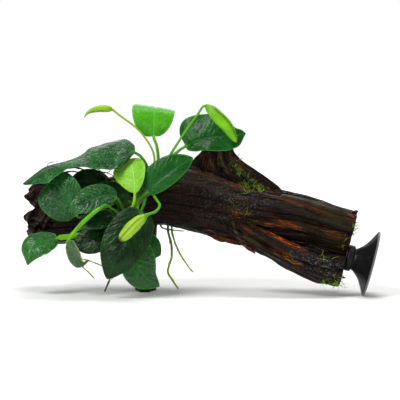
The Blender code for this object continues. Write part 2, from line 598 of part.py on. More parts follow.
def build_suction_cup():
    """One moulding: a knob against the wood, a neck, and a thin bell with a shallow hollow."""
    profile = (
        (0.0, KNOB_RADIUS - 0.7), (0.7, KNOB_RADIUS), (4.0, KNOB_RADIUS), (4.8, KNOB_RADIUS - 0.8),
        (5.3, KNOB_RADIUS - 1.7), (6.0, KNOB_RADIUS - 1.5), (7.6, 7.8), (9.6, 10.8), (11.6, 14.4),
        (13.2, 17.4), (13.8, CUP_RADIUS), (CUP_LENGTH, CUP_RADIUS), (CUP_LENGTH, CUP_RADIUS - 1.3),
        (13.2, 13.5), (11.8, 7.0),
    )
    bm = bmesh.new()
    rings = []
    for reach, radius in profile:
        rings.append([
            Vector((reach, radius * math.sin(2 * math.pi * (i + 0.5) / CUP_SIDES),
                    radius * math.cos(2 * math.pi * (i + 0.5) / CUP_SIDES)))
            for i in range(CUP_SIDES)
        ])
    add_loft(bm, rings)
    normal = saw_normal()
    turn = Matrix.Rotation(-SAW_YAW, 4, "Z") @ Matrix.Rotation(SAW_TILT, 4, "Y")
    flat_radius = CUP_RADIUS * math.cos(math.pi / CUP_SIDES)
    height = (CUP_LENGTH + FIT_GAP) * math.sin(SAW_TILT) + flat_radius * math.cos(SAW_TILT)
    across = normal.y * (CUP_OFFSET_Y - SAW_POINT[1]) + normal.z * (height - SAW_POINT[2])
    on_saw_cut = Vector((SAW_POINT[0] - across / normal.x, CUP_OFFSET_Y, height))
    bm.transform(Matrix.Translation(on_saw_cut + FIT_GAP * normal) @ turn)
    return place_mesh("suction_cup", bm, RUBBER)


def build_plant(rhizome_cutter):
    for name, leaf in LEAVES.items():
        cut_away(build_leaf(name, leaf), rhizome_cutter)
    for name, spathe in SPATHES.items():
        cut_away(build_spathe(name, spathe), rhizome_cutter)


def build_roots(trunk_cutter):
    for name, (points, radius) in ROOTS.items():
        cut_away(build_root(name, points, radius), trunk_cutter)


def main():
    clear_scene()
    trunk_cutter = build_wood()
    rhizome_cutter = build_rhizome(trunk_cutter)
    build_suction_cup()
    build_plant(rhizome_cutter)
    build_roots(trunk_cutter)


main()
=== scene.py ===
# Dwarf anubias on driftwood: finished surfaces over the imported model, in a plain studio.
import math

import bpy
import numpy as np
from mathutils import Matrix, Vector


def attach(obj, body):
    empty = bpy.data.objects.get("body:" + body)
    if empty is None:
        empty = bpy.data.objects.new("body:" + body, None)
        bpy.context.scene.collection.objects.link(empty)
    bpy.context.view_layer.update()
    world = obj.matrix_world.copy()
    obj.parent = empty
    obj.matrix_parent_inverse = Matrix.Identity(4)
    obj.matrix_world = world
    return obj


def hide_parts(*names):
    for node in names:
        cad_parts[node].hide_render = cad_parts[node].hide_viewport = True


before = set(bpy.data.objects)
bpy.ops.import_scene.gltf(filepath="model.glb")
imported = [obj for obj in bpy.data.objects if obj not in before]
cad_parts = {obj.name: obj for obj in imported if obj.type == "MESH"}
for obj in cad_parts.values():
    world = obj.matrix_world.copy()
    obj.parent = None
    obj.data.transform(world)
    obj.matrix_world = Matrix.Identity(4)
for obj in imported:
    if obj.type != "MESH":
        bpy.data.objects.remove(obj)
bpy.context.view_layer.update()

mm = 0.001
fullTurn = 2 * math.pi
tableMiddle = np.array((0.7, -15.0, 0.0))  # all tables are in mm, and this point of theirs is the origin


def toMetres(points):
    return (np.asarray(points, float) - tableMiddle) * mm


def linear(hexColour):
    shares = [int(hexColour[i:i + 2], 16) / 255 for i in (1, 3, 5)]
    return (*[c / 12.92 if c <= 0.04045 else ((c + 0.055) / 1.055) ** 2.4 for c in shares], 1.0)


# Gives a node its inputs by name or number: a socket is linked, and anything else is set.
def feed(tree, node, inputs):
    for key, value in inputs.items():
        if isinstance(value, bpy.types.NodeSocket):
            tree.links.new(value, node.inputs[key])
        else:
            node.inputs[key].default_value = value


# Adds a node with its settings, which are its properties or a ramp's stops, and its inputs, and gives its
# outputs.
def addNode(tree, kind, settings=None, inputs=None):
    node = tree.nodes.new(kind)
    for name, value in (settings or {}).items():
        if name == "stops":
            ramp = node.color_ramp.elements
            while len(ramp) < len(value):
                ramp.new(0.5)
            for element, (position, colour) in zip(ramp, value):
                element.position = position
                element.color = linear(colour)
        else:
            setattr(node, name, value)
    feed(tree, node, inputs or {})
    return node.outputs


def startMaterial(name):
    material = bpy.data.materials.new(name)
    material.use_nodes = True
    tree = material.node_tree
    coords = addNode(tree, "ShaderNodeTexCoord")["Object"]
    return material, tree, tree.nodes["Principled BSDF"], coords


# Paints layers over a colour. A layer has its colour, its pattern, the pattern's values where it begins and
# where it is full, its strength there and, if it has one, the share of the surface that it may cover.
def paintLayers(tree, colour, layers, easing="LINEAR"):
    for over, pattern, low, high, most, *area in layers:
        share = addNode(tree, "ShaderNodeMapRange", {"interpolation_type": easing}, {
            0: pattern, 1: low, 2: high, 3: 0.0, 4: most})[0]
        if area:
            share = addNode(tree, "ShaderNodeMath", {"operation": "MULTIPLY", "use_clamp": True}, {
                0: share, 1: area[0]})[0]
        colour = addNode(tree, "ShaderNodeMix", {"data_type": "RGBA"}, {
            0: share, 6: colour, 7: linear(over)})[2]
    return colour


# Paths and rings


def unit(vectors):
    return vectors / np.maximum(np.linalg.norm(vectors, axis=-1, keepdims=True), 1e-12)


def smoothStep(low, high, value):
    t = np.clip((value - low) / (high - low), 0.0, 1.0)
    return t * t * (3 - 2 * t)


# Rows that gather at both ends of a blade or pod.
def gatheredShares(first, last, count):
    return 0.5 - 0.5 * np.cos(math.pi * np.linspace(first, last, count))


def pathLength(line):
    return np.linalg.norm(np.diff(line, axis=0), axis=1).sum()


# Catmull-Rom values at positions along rows, where row k is at position k.
def splineRows(rows, spots):
    rows = np.asarray(rows, float)
    spots = np.asarray(spots, float)
    padded = np.vstack([2 * rows[0] - rows[1], rows, 2 * rows[-1] - rows[-2]])
    k = np.clip(np.floor(spots).astype(int), 0, len(rows) - 2)
    t = (spots - k)[:, None]
    a, b, c, d = (padded[k + i] for i in range(4))
    return 0.5 * (2 * b + (c - a) * t + (2 * a - 5 * b + 4 * c - d) * t**2 + (3 * b - a - 3 * c + d) * t**3)


# Positions between two rows of a path, at shares of the length between them.
def evenSpots(points, first, last, shares):
    grid = np.linspace(first, last, 24 * (last - first) + 1)
    line = splineRows(points, grid)
    reach = np.concatenate([[0.0], np.cumsum(np.linalg.norm(np.diff(line, axis=0), axis=1))])
    return np.interp(np.asarray(shares) * reach[-1], reach, grid)


# The same for a stem that runs on, from the row called base, into a midrib or a pod.
def stemAndBladeSpots(points, base, stemShares, bladeShares):
    return np.concatenate([
        evenSpots(points, 0, base, stemShares), evenSpots(points, base, len(points) - 1, bladeShares)])


def tangentsOf(line):
    ends = np.vstack([line[:1], line, line[-1:]])
    return unit(ends[2:] - ends[:-2])


# Normals carried along a path from one of its places without twisting.
def carryNormals(tangents, start, normal):
    ways = [Vector(t) for t in tangents]
    normals = [None] * len(ways)
    normal = Vector(normal)
    normals[start] = (normal - normal.dot(ways[start]) * ways[start]).normalized()
    for order in (range(start + 1, len(ways)), range(start - 1, -1, -1)):
        for i in order:
            near = i - 1 if i > start else i + 1
            carried = ways[near].rotation_difference(ways[i]) @ normals[near]
            normals[i] = (carried - carried.dot(ways[i]) * ways[i]).normalized()
    return np.array([tuple(n) for n in normals])


# A line and its finer frames between those of the solid, so that the fine piece lies where the solid does.
def finerFrames(points, coarseSpots, ways, normals, spots):
    index = np.interp(spots, coarseSpots, np.arange(len(coarseSpots)))
    side = unit(splineRows(unit(np.cross(ways, normals)), index))
    normal = splineRows(normals, index)
    normal = unit(normal - np.sum(normal * side, axis=1, keepdims=True) * side)
    return splineRows(points, spots), normal, side


# Rings round a line, from how far each of their points lies out along two directions.
def ringsAlong(line, side, outSide, normal, outUp):
    return line[:, None] + outSide[..., None] * side[:, None] + outUp[..., None] * normal[:, None]


# Soft bumps of about the given size, the same on every run.
def softNoise(points, size, seed):
    rng = np.random.default_rng(seed)
    total = np.zeros(points.shape[:-1])
    for _ in range(9):
        way = unit(rng.normal(size=points.shape[-1]))
        pace = 2 * math.pi / (size * rng.uniform(0.7, 1.5))
        total += np.sin(points @ way * pace + rng.uniform(0, 6.28))
    return total / 4.0


# Makes an object from points in metres. An attribute has one value or one vector for each point.
def addPiece(name, points, edges=(), faces=(), attributes=None, material=None):
    mesh = bpy.data.meshes.new(name)
    mesh.from_pydata(np.asarray(points, float).tolist(), edges, faces)
    for title, values in (attributes or {}).items():
        isVector = values.ndim == 2 and values.shape[1] == 3
        kind, field = ("FLOAT_VECTOR", "vector") if isVector else ("FLOAT", "value")
        mesh.attributes.new(title, kind, "POINT").data.foreach_set(field, values.ravel())
    mesh.shade_smooth()
    if material:
        mesh.materials.append(material)
    mesh.update()
    piece = bpy.data.objects.new(name, mesh)
    bpy.context.scene.collection.objects.link(piece)
    return piece


# Rows of rings in mm become one closed skin, with a point at each end.
def closedSkin(name, rings, startPoint, endPoint, attributes, material):
    rows, columns = rings.shape[:2]
    points = np.vstack([rings.reshape(-1, 3), startPoint, endPoint])
    i, j = np.meshgrid(np.arange(rows - 1), np.arange(columns), indexing="ij")
    nextJ = (j + 1) % columns
    near, far = i * columns, (i + 1) * columns
    quads = np.stack([near + j, near + nextJ, far + nextJ, far + j], -1).reshape(-1, 4)
    ring = np.arange(columns)
    startHub, endHub, lastRow = rows * columns, rows * columns + 1, (rows - 1) * columns
    startFan = np.stack([np.full(columns, startHub), (ring + 1) % columns, ring], -1)
    endFan = np.stack([np.full(columns, endHub), lastRow + ring, lastRow + (ring + 1) % columns], -1)
    a, b, c, d = (points[quads[:, k]] for k in range(4))
    volume = np.sum(np.cross(b - a, c - a) * a) + np.sum(np.cross(c - a, d - a) * a)
    if volume < 0:
        quads, startFan, endFan = quads[:, ::-1], startFan[:, ::-1], endFan[:, ::-1]
    full = {}
    for title, values in attributes.items():
        values = np.asarray(values, float)
        full[title] = np.concatenate([
            values.reshape(rows * columns, -1), values.reshape(rows, columns, -1)[[0, -1], 0]])
    faces = [*quads.tolist(), *startFan.tolist(), *endFan.tolist()]
    return addPiece(name, toMetres(points), (), faces, full, material)


def startTree(name, sockets):
    tree = bpy.data.node_groups.new(name, "GeometryNodeTree")
    tree.interface.new_socket("Geometry", in_out="INPUT", socket_type="NodeSocketGeometry")
    for title, kind in {**sockets, "Material": "NodeSocketMaterial"}.items():
        tree.interface.new_socket(title, in_out="INPUT", socket_type=kind)
    tree.interface.new_socket("Geometry", in_out="OUTPUT", socket_type="NodeSocketGeometry")
    return tree, tree.nodes.new("NodeGroupInput").outputs


def finishTree(tree, geometry, given):
    plain = addNode(tree, "GeometryNodeRealizeInstances", None, {0: geometry})[0]
    finished = addNode(tree, "GeometryNodeSetMaterial", None, {0: plain, 2: given["Material"]})[0]
    addNode(tree, "NodeGroupOutput", None, {0: finished})
    return tree


# Runs a node tree on a piece and leaves a plain mesh. Values are matched to the tree's inputs by name, and
# set by each input's identifier.
def growWithNodes(piece, tree, values):
    modifier = piece.modifiers.new(tree.name, "NODES")
    modifier.node_group = tree
    for item in tree.interface.items_tree:
        if item.item_type == "SOCKET" and item.in_out == "INPUT" and item.name in values:
            modifier[item.identifier] = values[item.name]
    graph = bpy.context.evaluated_depsgraph_get()
    shown = piece.evaluated_get(graph)
    mesh = bpy.data.meshes.new_from_object(shown, preserve_all_data_layers=True, depsgraph=graph)
    piece.modifiers.remove(modifier)
    piece.data = mesh
    return piece


def settle(piece, slot, *nodes):
    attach(piece, "root")
    if nodes:
        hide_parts(*nodes)
    return piece


# Materials of the wood, the moss and the rubber

woodLook = {
    "deep": "#030201", "body": "#0b0604", "ridge": "#2c1e15", "warm": "#963408", "glow": "#e0782c",
    "algae": "#23250d", "grey": "#5a5c64", "sawn": "#1a110a", "edge": "#6e5238", "crack": "#030202",
    # patterns along the grain: how far they are stretched, how many in 1 mm, how fine
    "patterns": {"streaks": (0.035, 1.15, 3.0), "lines": (0.055, 1.25, 5.0), "threads": (0.12, 2.2, 3.0)},
    "speckScale": 1000.0, "cloudScale": 90.0, "bumpDepth": 0.0006, "shine": 0.1,  # specks 1 mm, clouds 11 mm
}


# Waterlogged driftwood, worn by sand and water: dark, fissured along the grain, damp enough to glint on its
# ridges, with raw orange wood where the surface has flaked off. Its colour also holds painted light: shade in
# the furrows and cracks, paler ridges and edges as painted highlights, and grey flecks that are partly
# painted glints.
def makeDriftwood():
    material, tree, shader, coords = startMaterial("waterlogged driftwood")
    grain = addNode(tree, "ShaderNodeAttribute", {"attribute_name": "grain"})["Vector"]
    relief, crack, warm, grey, algae, sawn, edge = (
        addNode(tree, "ShaderNodeAttribute", {"attribute_name": key})["Fac"]
        for key in ("relief", "crack", "warm", "grey", "algae", "sawn", "edge"))
    noises = {}
    for title, (stretch, scale, detail) in woodLook["patterns"].items():
        way = addNode(tree, "ShaderNodeVectorMath", {"operation": "MULTIPLY"}, {
            0: grain, 1: (stretch, 1.0, 1.0)})[0]
        noises[title] = addNode(tree, "ShaderNodeTexNoise", None, {
            "Vector": way, "Scale": scale, "Detail": detail, "Roughness": 0.66})["Fac"]
    specks, clouds = (
        addNode(tree, "ShaderNodeTexNoise", None, {"Vector": coords, "Scale": scale, "Detail": detail})["Fac"]
        for scale, detail in ((woodLook["speckScale"], 2.0), (woodLook["cloudScale"], 3.0)))
    lines, streaks, threads = noises["lines"], noises["streaks"], noises["threads"]
    height = lines
    for pattern, gain in ((relief, 0.8), (specks, 0.5)):
        lifted = addNode(tree, "ShaderNodeMath", {"operation": "MULTIPLY_ADD"}, {
            0: pattern, 1: gain, 2: -0.5 * gain})[0]
        height = addNode(tree, "ShaderNodeMath", {"operation": "ADD"}, {0: height, 1: lifted})[0]
    # the colour rises with the height of the relief and the grain: darker in the furrows as painted shade,
    # paler on the ridges as painted highlight
    colour = paintLayers(tree, linear(woodLook["deep"]), [
        (woodLook[title], *layer) for title, *layer in (
            ("body", height, 0.4, 0.6, 1.0, 1.0), ("ridge", height, 0.58, 0.8, 0.85, 1.0),
            ("algae", clouds, 0.38, 0.6, 0.9, algae), ("warm", streaks, 0.52, 0.61, 1.0, warm),
            # the grey flecks are partly grey deposits on the wood and partly painted glints of its wet
            # surface
            ("glow", threads, 0.52, 0.62, 0.8, warm), ("grey", specks, 0.53, 0.66, 0.8, grey),
            # the pale edge tint is partly wear and partly a painted highlight along ridges and flutes
            ("edge", threads, 0.42, 0.6, 0.9, edge), ("sawn", specks, 0.2, 0.21, 0.8, sawn))], "SMOOTHSTEP")
    # the cracks are painted near-black: painted shade in the sunken cracks
    colour = paintLayers(tree, colour, ((woodLook["crack"], crack, 0.0, 1.0, 1.0),))
    roughness = addNode(tree, "ShaderNodeMapRange", None, {0: threads, 1: 0.35, 2: 0.65, 3: 0.46, 4: 0.2})[0]
    fine = addNode(tree, "ShaderNodeMath", {"operation": "ADD"}, {0: threads, 1: specks})[0]
    coarse = addNode(tree, "ShaderNodeMath", {"operation": "MULTIPLY_ADD"}, {0: lines, 1: 2.0, 2: fine})[0]
    bump = addNode(tree, "ShaderNodeBump", None, {
        "Strength": 0.9, "Distance": woodLook["bumpDepth"], "Height": coarse})[0]
    feed(tree, shader, {
        "Base Color": colour, "Roughness": roughness, "Normal": bump,
        "Specular IOR Level": woodLook["shine"]})
    return material


mossLook = {"old": "#3e6c0e", "young": "#96bf26", "patchScale": 260.0, "roughness": 0.75}  # patches 4 mm


# Living moss strands: matt, pale green at their growing tips.
def makeMoss():
    material, tree, shader, coords = startMaterial("living aquarium moss")
    patches = addNode(tree, "ShaderNodeTexNoise", None, {
        "Vector": coords, "Scale": mossLook["patchScale"], "Detail": 2.0})["Fac"]
    colour = paintLayers(tree, linear(mossLook["old"]), ((mossLook["young"], patches, 0.35, 0.62, 1.0),))
    feed(tree, shader, {"Base Color": colour, "Roughness": mossLook["roughness"]})
    return material


rubberLook = {"low": "#0a0a0b", "high": "#1a1a1c", "rim": "#5e6164", "dustScale": 1400.0, "shine": 0.22}


# Moulded black PVC rubber, satin, with fine radial flow marks and a thin paler rim, which is a painted
# highlight along the lip.
def makeRubber():
    material, tree, shader, coords = startMaterial("moulded black rubber")
    rim = addNode(tree, "ShaderNodeAttribute", {"attribute_name": "rim"})["Fac"]
    around = addNode(tree, "ShaderNodeAttribute", {"attribute_name": "around"})["Vector"]
    flow = addNode(tree, "ShaderNodeTexNoise", None, {"Vector": around, "Scale": 1.0, "Detail": 3.0})["Fac"]
    dust = addNode(tree, "ShaderNodeTexNoise", None, {
        "Vector": coords, "Scale": rubberLook["dustScale"], "Detail": 2.0})["Fac"]
    colour = paintLayers(tree, linear(rubberLook["low"]), (
        (rubberLook["high"], flow, 0.0, 1.0, 1.0), (rubberLook["rim"], rim, 0.0, 1.0, 1.0)))
    roughness = addNode(tree, "ShaderNodeMapRange", None, {0: flow, 1: 0.3, 2: 0.7, 3: 0.26, 4: 0.42})[0]
    height = addNode(tree, "ShaderNodeMath", {"operation": "MULTIPLY_ADD"}, {0: flow, 1: 2.0, 2: dust})[0]
    bump = addNode(tree, "ShaderNodeBump", None, {"Strength": 0.25, "Distance": 0.0003, "Height": height})[0]
    feed(tree, shader, {
        "Base Color": colour, "Roughness": roughness, "Normal": bump,
        "Specular IOR Level": rubberLook["shine"]})
    return material


driftwood = makeDriftwood()
moss = makeMoss()
rubber = makeRubber()

# Wood

# The saw cut: a plane through a point, tilted down to the right and turned a little to the front.
sawTilt, sawYaw = math.radians(13.6), math.radians(5.0)
sawPoint = np.array((87.3, 0.0, 45.7))
sawNormal = np.array((
    math.cos(sawTilt) * math.cos(sawYaw), -math.cos(sawTilt) * math.sin(sawYaw), -math.sin(sawTilt)))

# Stations give the middle x, y, z, then half height (half length on the uprights) and half depth.
# Ridges are waves round the wood: how many, how high, how far they wander and where they start.
# Grooves and folds follow a line of x and z on the front: points, depth or height, and half width.
# Edges are lines with a pale tint, partly worn wood and partly a painted highlight on ridges and flutes:
# points, half width, strength.
# Warm tints, grey flecks that also paint glints, and algae are patches on the front: x, z, reach along the
# grain, reach across, strength.
# Slope is the grain's way in degrees, jagged the teeth of the broken end, crag its lumps, and sections the
# number of rings in the solid.
plainWood = {
    "upright": False, "sawn": False, "flat": False, "jagged": 0.0, "crag": 0.0, "furrow": 0.6, "knobs": 0.42,
    "crackDepth": 0.9, "grooves": (), "folds": (), "edges": (),
}
trunk = {
    "stations": (
        (-94.5, 3.0, 43.0, 13.2, 12.0), (-90.0, 3.0, 42.6, 16.0, 14.8), (-80.0, 3.0, 42.0, 16.8, 16.5),
        (-60.0, 3.0, 44.6, 15.6, 16.5), (-40.0, 3.0, 50.4, 15.4, 16.8), (-20.5, 3.0, 54.2, 17.2, 17.6),
        (-1.5, 3.5, 51.8, 18.2, 18.0), (14.0, 4.0, 47.6, 17.6, 18.0), (30.0, 4.5, 44.0, 16.2, 17.5),
        (55.0, 5.0, 40.8, 14.2, 16.0), (75.0, 5.0, 35.6, 13.5, 15.0), (96.0, 5.0, 30.8, 13.1, 14.0)),
    "ridges": ((3, 0.035, 2.0, 0.4), (5, 0.035, -3.0, 1.0), (9, 0.05, 4.0, 2.0)), "slope": -18,
    "sections": 20, "jagged": 5.0, "crag": 0.9, "sawn": True, "rows": 330, "columns": 216, "furrow": 0.5,
    "grooves": (
        (((-9.0, 70.3), (-5.2, 70.4), (2.0, 68.4), (9.7, 66.8), (17.5, 63.7), (24.7, 61.1), (34.7, 58.5),
          (42.9, 56.4)), 2.2, 1.3),
        (((17.9, 41.1), (25.0, 40.1), (31.2, 37.5), (40.7, 32.1), (50.0, 28.4), (59.1, 25.8), (68.5, 22.7),
          (77.8, 19.0)), 2.0, 1.6),
        (((44.7, 51.5), (56.9, 47.9), (70.8, 43.2), (85.8, 38.5)), 0.8, 1.0),
        (((33.2, 49.1), (48.7, 44.4), (65.4, 39.2), (84.3, 32.9)), 0.9, 1.1),
        (((40.6, 37.6), (54.5, 33.5), (71.1, 28.3), (82.2, 26.3)), 1.1, 1.3),
        (((-23.0, 49.2), (-11.9, 47.7), (1.9, 44.7), (13.0, 40.5)), 0.9, 1.2),
        (((2.1, 34.2), (13.2, 31.6), (25.4, 28.0)), 1.0, 0.9), (((-91.8, 55.4), (-93.4, 51.6)), 2.8, 1.3),
        (((-88.6, 48.9), (-90.9, 44.8), (-92.6, 41.6)), 2.8, 1.1),
        (((-90.5, 36.0), (-90.0, 33.4)), 3.2, 1.1), (((-96.5, 38.2), (-93.0, 38.8)), 3.0, 0.9),
        (((-86.6, 47.6), (-83.8, 50.2)), 1.8, 1.1), (((-82.6, 39.6), (-85.2, 34.6)), 1.6, 1.0)),
    "folds": (
        (((-90.8, 58.4), (-94.1, 56.1), (-96.8, 53.3), (-97.6, 50.5)), 1.5, 1.1),
        (((-97.6, 50.0), (-95.6, 48.1), (-92.9, 49.0)), 1.3, 1.0),
        (((-90.2, 51.2), (-92.9, 47.3), (-95.0, 43.4), (-96.1, 39.0)), 1.8, 1.0),
        (((-85.1, 44.2), (-87.8, 40.2), (-91.0, 37.0), (-93.0, 33.5)), 1.9, 1.0),
        (((-82.9, 43.4), (-84.8, 39.6), (-87.2, 35.2), (-88.2, 32.0)), 1.6, 0.9)),
    "warm": (
        (33.3, 40.9, 13, 1.5, 0.7), (46.0, 40.5, 9, 1.2, 1.0), (50.0, 52.0, 24, 1.0, 0.22),
        (70.8, 36.1, 8, 1.6, 0.5), (14.0, 30.0, 12, 1.6, 0.45), (4.3, 64.6, 14, 1.6, 0.15),
        (20.8, 60.5, 10, 1.8, 0.4), (84.0, 44.0, 3, 2.0, 0.4), (19.0, 43.6, 2, 1.3, 1.2),
        (4.3, 35.0, 1.6, 1.0, 1.2)),
    "edges": (
        (((-5.2, 70.0), (1.5, 67.7), (9.8, 65.0), (18.1, 62.4), (24.7, 60.4), (34.1, 57.8), (42.9, 55.7)),
         0.55, 0.8),
        (((42.9, 56.4), (58.0, 53.6), (72.0, 49.8), (87.0, 46.3)), 0.7, 0.5),
        (((-90.8, 58.4), (-94.1, 56.1), (-96.8, 53.3), (-97.6, 50.5), (-95.6, 48.1)), 0.45, 0.5),
        (((-90.2, 51.2), (-92.9, 47.3), (-95.0, 43.4), (-96.1, 39.0)), 0.45, 0.5),
        (((-85.1, 44.2), (-87.8, 40.2), (-91.0, 37.0), (-93.0, 33.5)), 0.45, 0.45),
        (((-82.9, 43.4), (-84.8, 39.6), (-87.2, 35.2), (-88.2, 32.0)), 0.4, 0.45)),
    "grey": (
        (12.7, 52.6, 16, 5.0, 0.8), (23.8, 50.1, 10, 6.0, 0.9), (5.0, 44.0, 12, 5.0, 0.5),
        (-85.0, 42.0, 12, 12.0, 0.3), (33.0, 53.0, 8, 4.0, 0.6)),
    "algae": (
        (65.1, 47.0, 24, 5.0, 0.8), (54.3, 39.6, 26, 3.0, 0.6), (17.8, 48.3, 5, 4.0, 0.5),
        (70.0, 30.0, 14, 4.0, 0.5), (-86.0, 48.0, 6, 6.0, 0.6)),
}
lowerLimb = {
    "stations": (
        (14.0, -5.0, 40.0, 3.0, 6.0), (21.0, -7.0, 36.0, 5.6, 10.0), (31.5, -7.0, 30.6, 6.4, 12.5),
        (41.0, -7.0, 25.9, 6.6, 13.5), (50.5, -6.0, 21.3, 7.3, 14.0), (66.0, -5.0, 15.8, 8.6, 14.0),
        (77.0, -4.0, 13.8, 8.6, 13.5), (92.0, -4.0, 11.2, 8.0, 13.0)),
    "ridges": ((3, 0.05, 1.0, 0.0), (7, 0.05, 2.0, 1.0)), "slope": -28, "sections": 14, "sawn": True,
    "rows": 190, "columns": 150,
    "grooves": (
        (((21.3, 38.4), (29.7, 31.9), (40.9, 25.5), (50.4, 19.0), (59.3, 15.9)), 1.6, 1.0),
        (((19.1, 39.5), (23.1, 31.8), (33.7, 23.7), (46.6, 17.3), (60.5, 11.4)), 1.3, 1.0),
        (((57.0, 28.6), (66.2, 25.0), (74.0, 21.8)), 2.2, 1.3),
        (((62.0, 21.5), (69.0, 18.6), (78.0, 15.0)), 1.5, 0.8),
        (((66.5, 3.5), (69.5, 6.6), (72.0, 4.0)), 3.4, 2.0)),
    "warm": (
        (35.0, 35.6, 8, 0.9, 0.7), (44.0, 31.6, 10, 1.0, 1.5), (53.0, 28.0, 6, 0.8, 1.0),
        (45.3, 23.8, 6, 0.9, 1.0), (50.3, 20.1, 6, 1.2, 1.2), (26.0, 36.0, 5, 0.9, 0.4)),
    "edges": (
        (((16.9, 43.0), (18.1, 37.6), (20.4, 32.2), (25.7, 27.9), (33.0, 22.6)), 0.6, 0.9),
        (((40.0, 24.8), (47.0, 21.6), (52.0, 17.8)), 0.5, 0.9)),
    "grey": ((60.2, 19.3, 10, 5.0, 1.5), (70.0, 16.0, 10, 5.0, 1.4)),
    "algae": ((30.0, 30.0, 10, 3.0, 0.5), (70.0, 10.0, 10, 4.0, 0.6)),
}
branchStump = {
    "stations": (
        (17.5, 8.0, 52.0, 27.0, 9.5), (17.0, 8.0, 58.3, 25.5, 9.0), (13.8, 8.0, 64.2, 21.6, 8.8),
        (10.2, 8.0, 69.4, 17.8, 8.5), (8.2, 7.8, 74.2, 12.8, 8.0), (8.4, 7.4, 78.8, 8.8, 7.4),
        (9.2, 7.0, 83.2, 6.8, 6.4)),
    "ridges": ((4, 0.04, 0.5, 0.0), (7, 0.06, 0.8, 1.0)), "slope": -70, "sections": 8, "upright": True,
    "rows": 110, "columns": 190, "furrow": 0.8, "knobs": 0.12, "crackDepth": 0.5,
    "grooves": (
        (((16.6, 78.5), (20.6, 72.0), (26.2, 66.0), (32.9, 61.2), (38.5, 58.6)), 1.8, 0.9),
        (((24.0, 70.4), (29.6, 65.6), (36.3, 60.2), (42.9, 57.6)), 1.4, 0.8),
        (((6.2, 78.9), (8.0, 73.4), (10.8, 68.0)), 1.9, 1.1),
        (((12.2, 79.0), (14.0, 73.5), (18.5, 67.0)), 1.9, 1.1)),
    "warm": ((20.0, 76.0, 6, 1.4, 0.3), (2.0, 72.0, 6, 1.6, 0.4)),
    "edges": (
        (((17.5, 76.0), (22.5, 69.0), (30.0, 62.4), (38.0, 58.4)), 0.6, 1.0),
        (((3.4, 78.0), (4.6, 73.0), (6.6, 68.0)), 0.9, 0.9),
        (((9.0, 80.0), (10.4, 74.0), (14.0, 67.5)), 1.1, 1.0),
        (((14.6, 80.0), (17.2, 74.0), (22.0, 67.0)), 1.0, 0.9)),
    "grey": ((10.0, 76.0, 8, 3.0, 0.7), (27.0, 66.0, 8, 2.0, 0.6)),
    "algae": ((20.0, 70.0, 5, 5.0, 0.8), (40.0, 58.0, 8, 3.0, 0.4)),
}
spur = {
    "stations": (
        (-31.0, 6.0, 44.0, 6.5, 11.0), (-31.0, 6.0, 34.0, 5.6, 11.0), (-30.4, 7.5, 22.0, 4.6, 11.5),
        (-30.6, 9.0, 10.0, 4.8, 14.0), (-31.0, 9.5, -1.0, 5.8, 16.5)),
    "ridges": ((4, 0.04, 0.5, 0.0), (7, 0.06, 0.8, 1.0)), "slope": -90, "sections": 8, "upright": True,
    "flat": True, "rows": 90, "columns": 110, "furrow": 0.7, "knobs": 0.3, "crackDepth": 0.7,
    "warm": ((-31.0, 20.0, 8, 3.0, 0.3),), "grey": ((-31.0, 12.0, 8, 4.0, 0.4),),
    "algae": ((-31.0, 26.0, 8, 6.0, 0.6),),
}

# Rows that close an end, how rough they are when broken, worn or sawn, how the last rows before a saw cut
# calm down, how deep the broken end is hollow, how high a worn crown stands, and in mm the width of furrows,
# the size of lumps, and the pits of the broken end with their size, seed and depth.
woodForm = {
    "capRows": 26, "brokenRough": 1.1, "wornRough": 1.2, "sawnRough": 0.22, "calm": (0.9, 0.7, 0.5, 0.3),
    "hollow": 5.5, "crown": 2.5, "furrowWidth": 2.6, "lumps": 7.0, "pits": ((6.0, 3, 1.4), (2.6, 4, 0.7)),
}


# Points on the wood at shares along it and at angles round it, by the same rule as the solid.
def woodSurface(wood, share, angle):
    stations = np.array(wood["stations"])
    last = len(stations) - 1
    spots = share * last
    row = splineRows(stations, spots)
    step = last / (wood["sections"] - 1)
    ahead = splineRows(stations, np.clip(spots + step, 0, last))[:, :3]
    behind = splineRows(stations, np.clip(spots - step, 0, last))[:, :3]
    way = unit(ahead - behind)
    across = np.zeros_like(way)
    if wood["upright"]:
        across[:, 0] = 1.0
    else:
        across[:, 0] = -way[:, 2]
        across[:, 2] = way[:, 0]
        across = unit(across)
    bulge = np.ones(len(share))
    for count, height, wander, start in wood["ridges"]:
        bulge += height * np.cos(count * angle + wander * share + start)
    points = row[:, :3] + (row[:, 3] * bulge * np.cos(angle))[:, None] * across
    points[:, 1] += row[:, 4] * bulge * np.sin(angle)
    if wood["jagged"]:
        tooth = 0.5 + 0.5 * np.cos(6.8 * (np.cos(angle) - 0.74))
        for count, height, start in ((5, 0.15, 0.0), (3, 0.2, 2.0), (7, 0.12, 1.0), (11, 0.06, 0.0)):
            tooth += height * np.sin(count * angle + start)
        length = wood["jagged"] * (0.8 + 0.25 * np.cos(angle)) * np.clip(1 - share * 10, 0, 1)
        points -= way * (tooth * length)[:, None]
    return points


# How near points are to a line of x and z, as a soft 0 to 1.
def nearLine(points, line, width):
    line = splineRows(line, np.linspace(0, len(line) - 1, 12 * len(line)))
    flat = points[..., [0, 2]].reshape(-1, 2)
    best = np.full(len(flat), 1e9)
    for a, b in zip(line, line[1:]):
        part = np.clip(((flat - a) @ (b - a)) / max(np.dot(b - a, b - a), 1e-9), 0, 1)
        best = np.minimum(best, np.linalg.norm(flat - a - part[:, None] * (b - a), axis=1))
    return np.exp(-(best / width) ** 2).reshape(points.shape[:-1])


# The strongest of a tint's patches at each point.
def tintShare(points, patches, slope):
    total = np.zeros(points.shape[:-1])
    way = np.array((math.cos(slope), math.sin(slope)))
    for x, z, along, across, strength in patches:
        off = points[..., [0, 2]] - (x, z)
        run = off @ way
        rise = off @ np.array((-way[1], way[0]))
        total = np.maximum(total, strength * np.exp(-(run / along) ** 2 - (rise / across) ** 2))
    return total


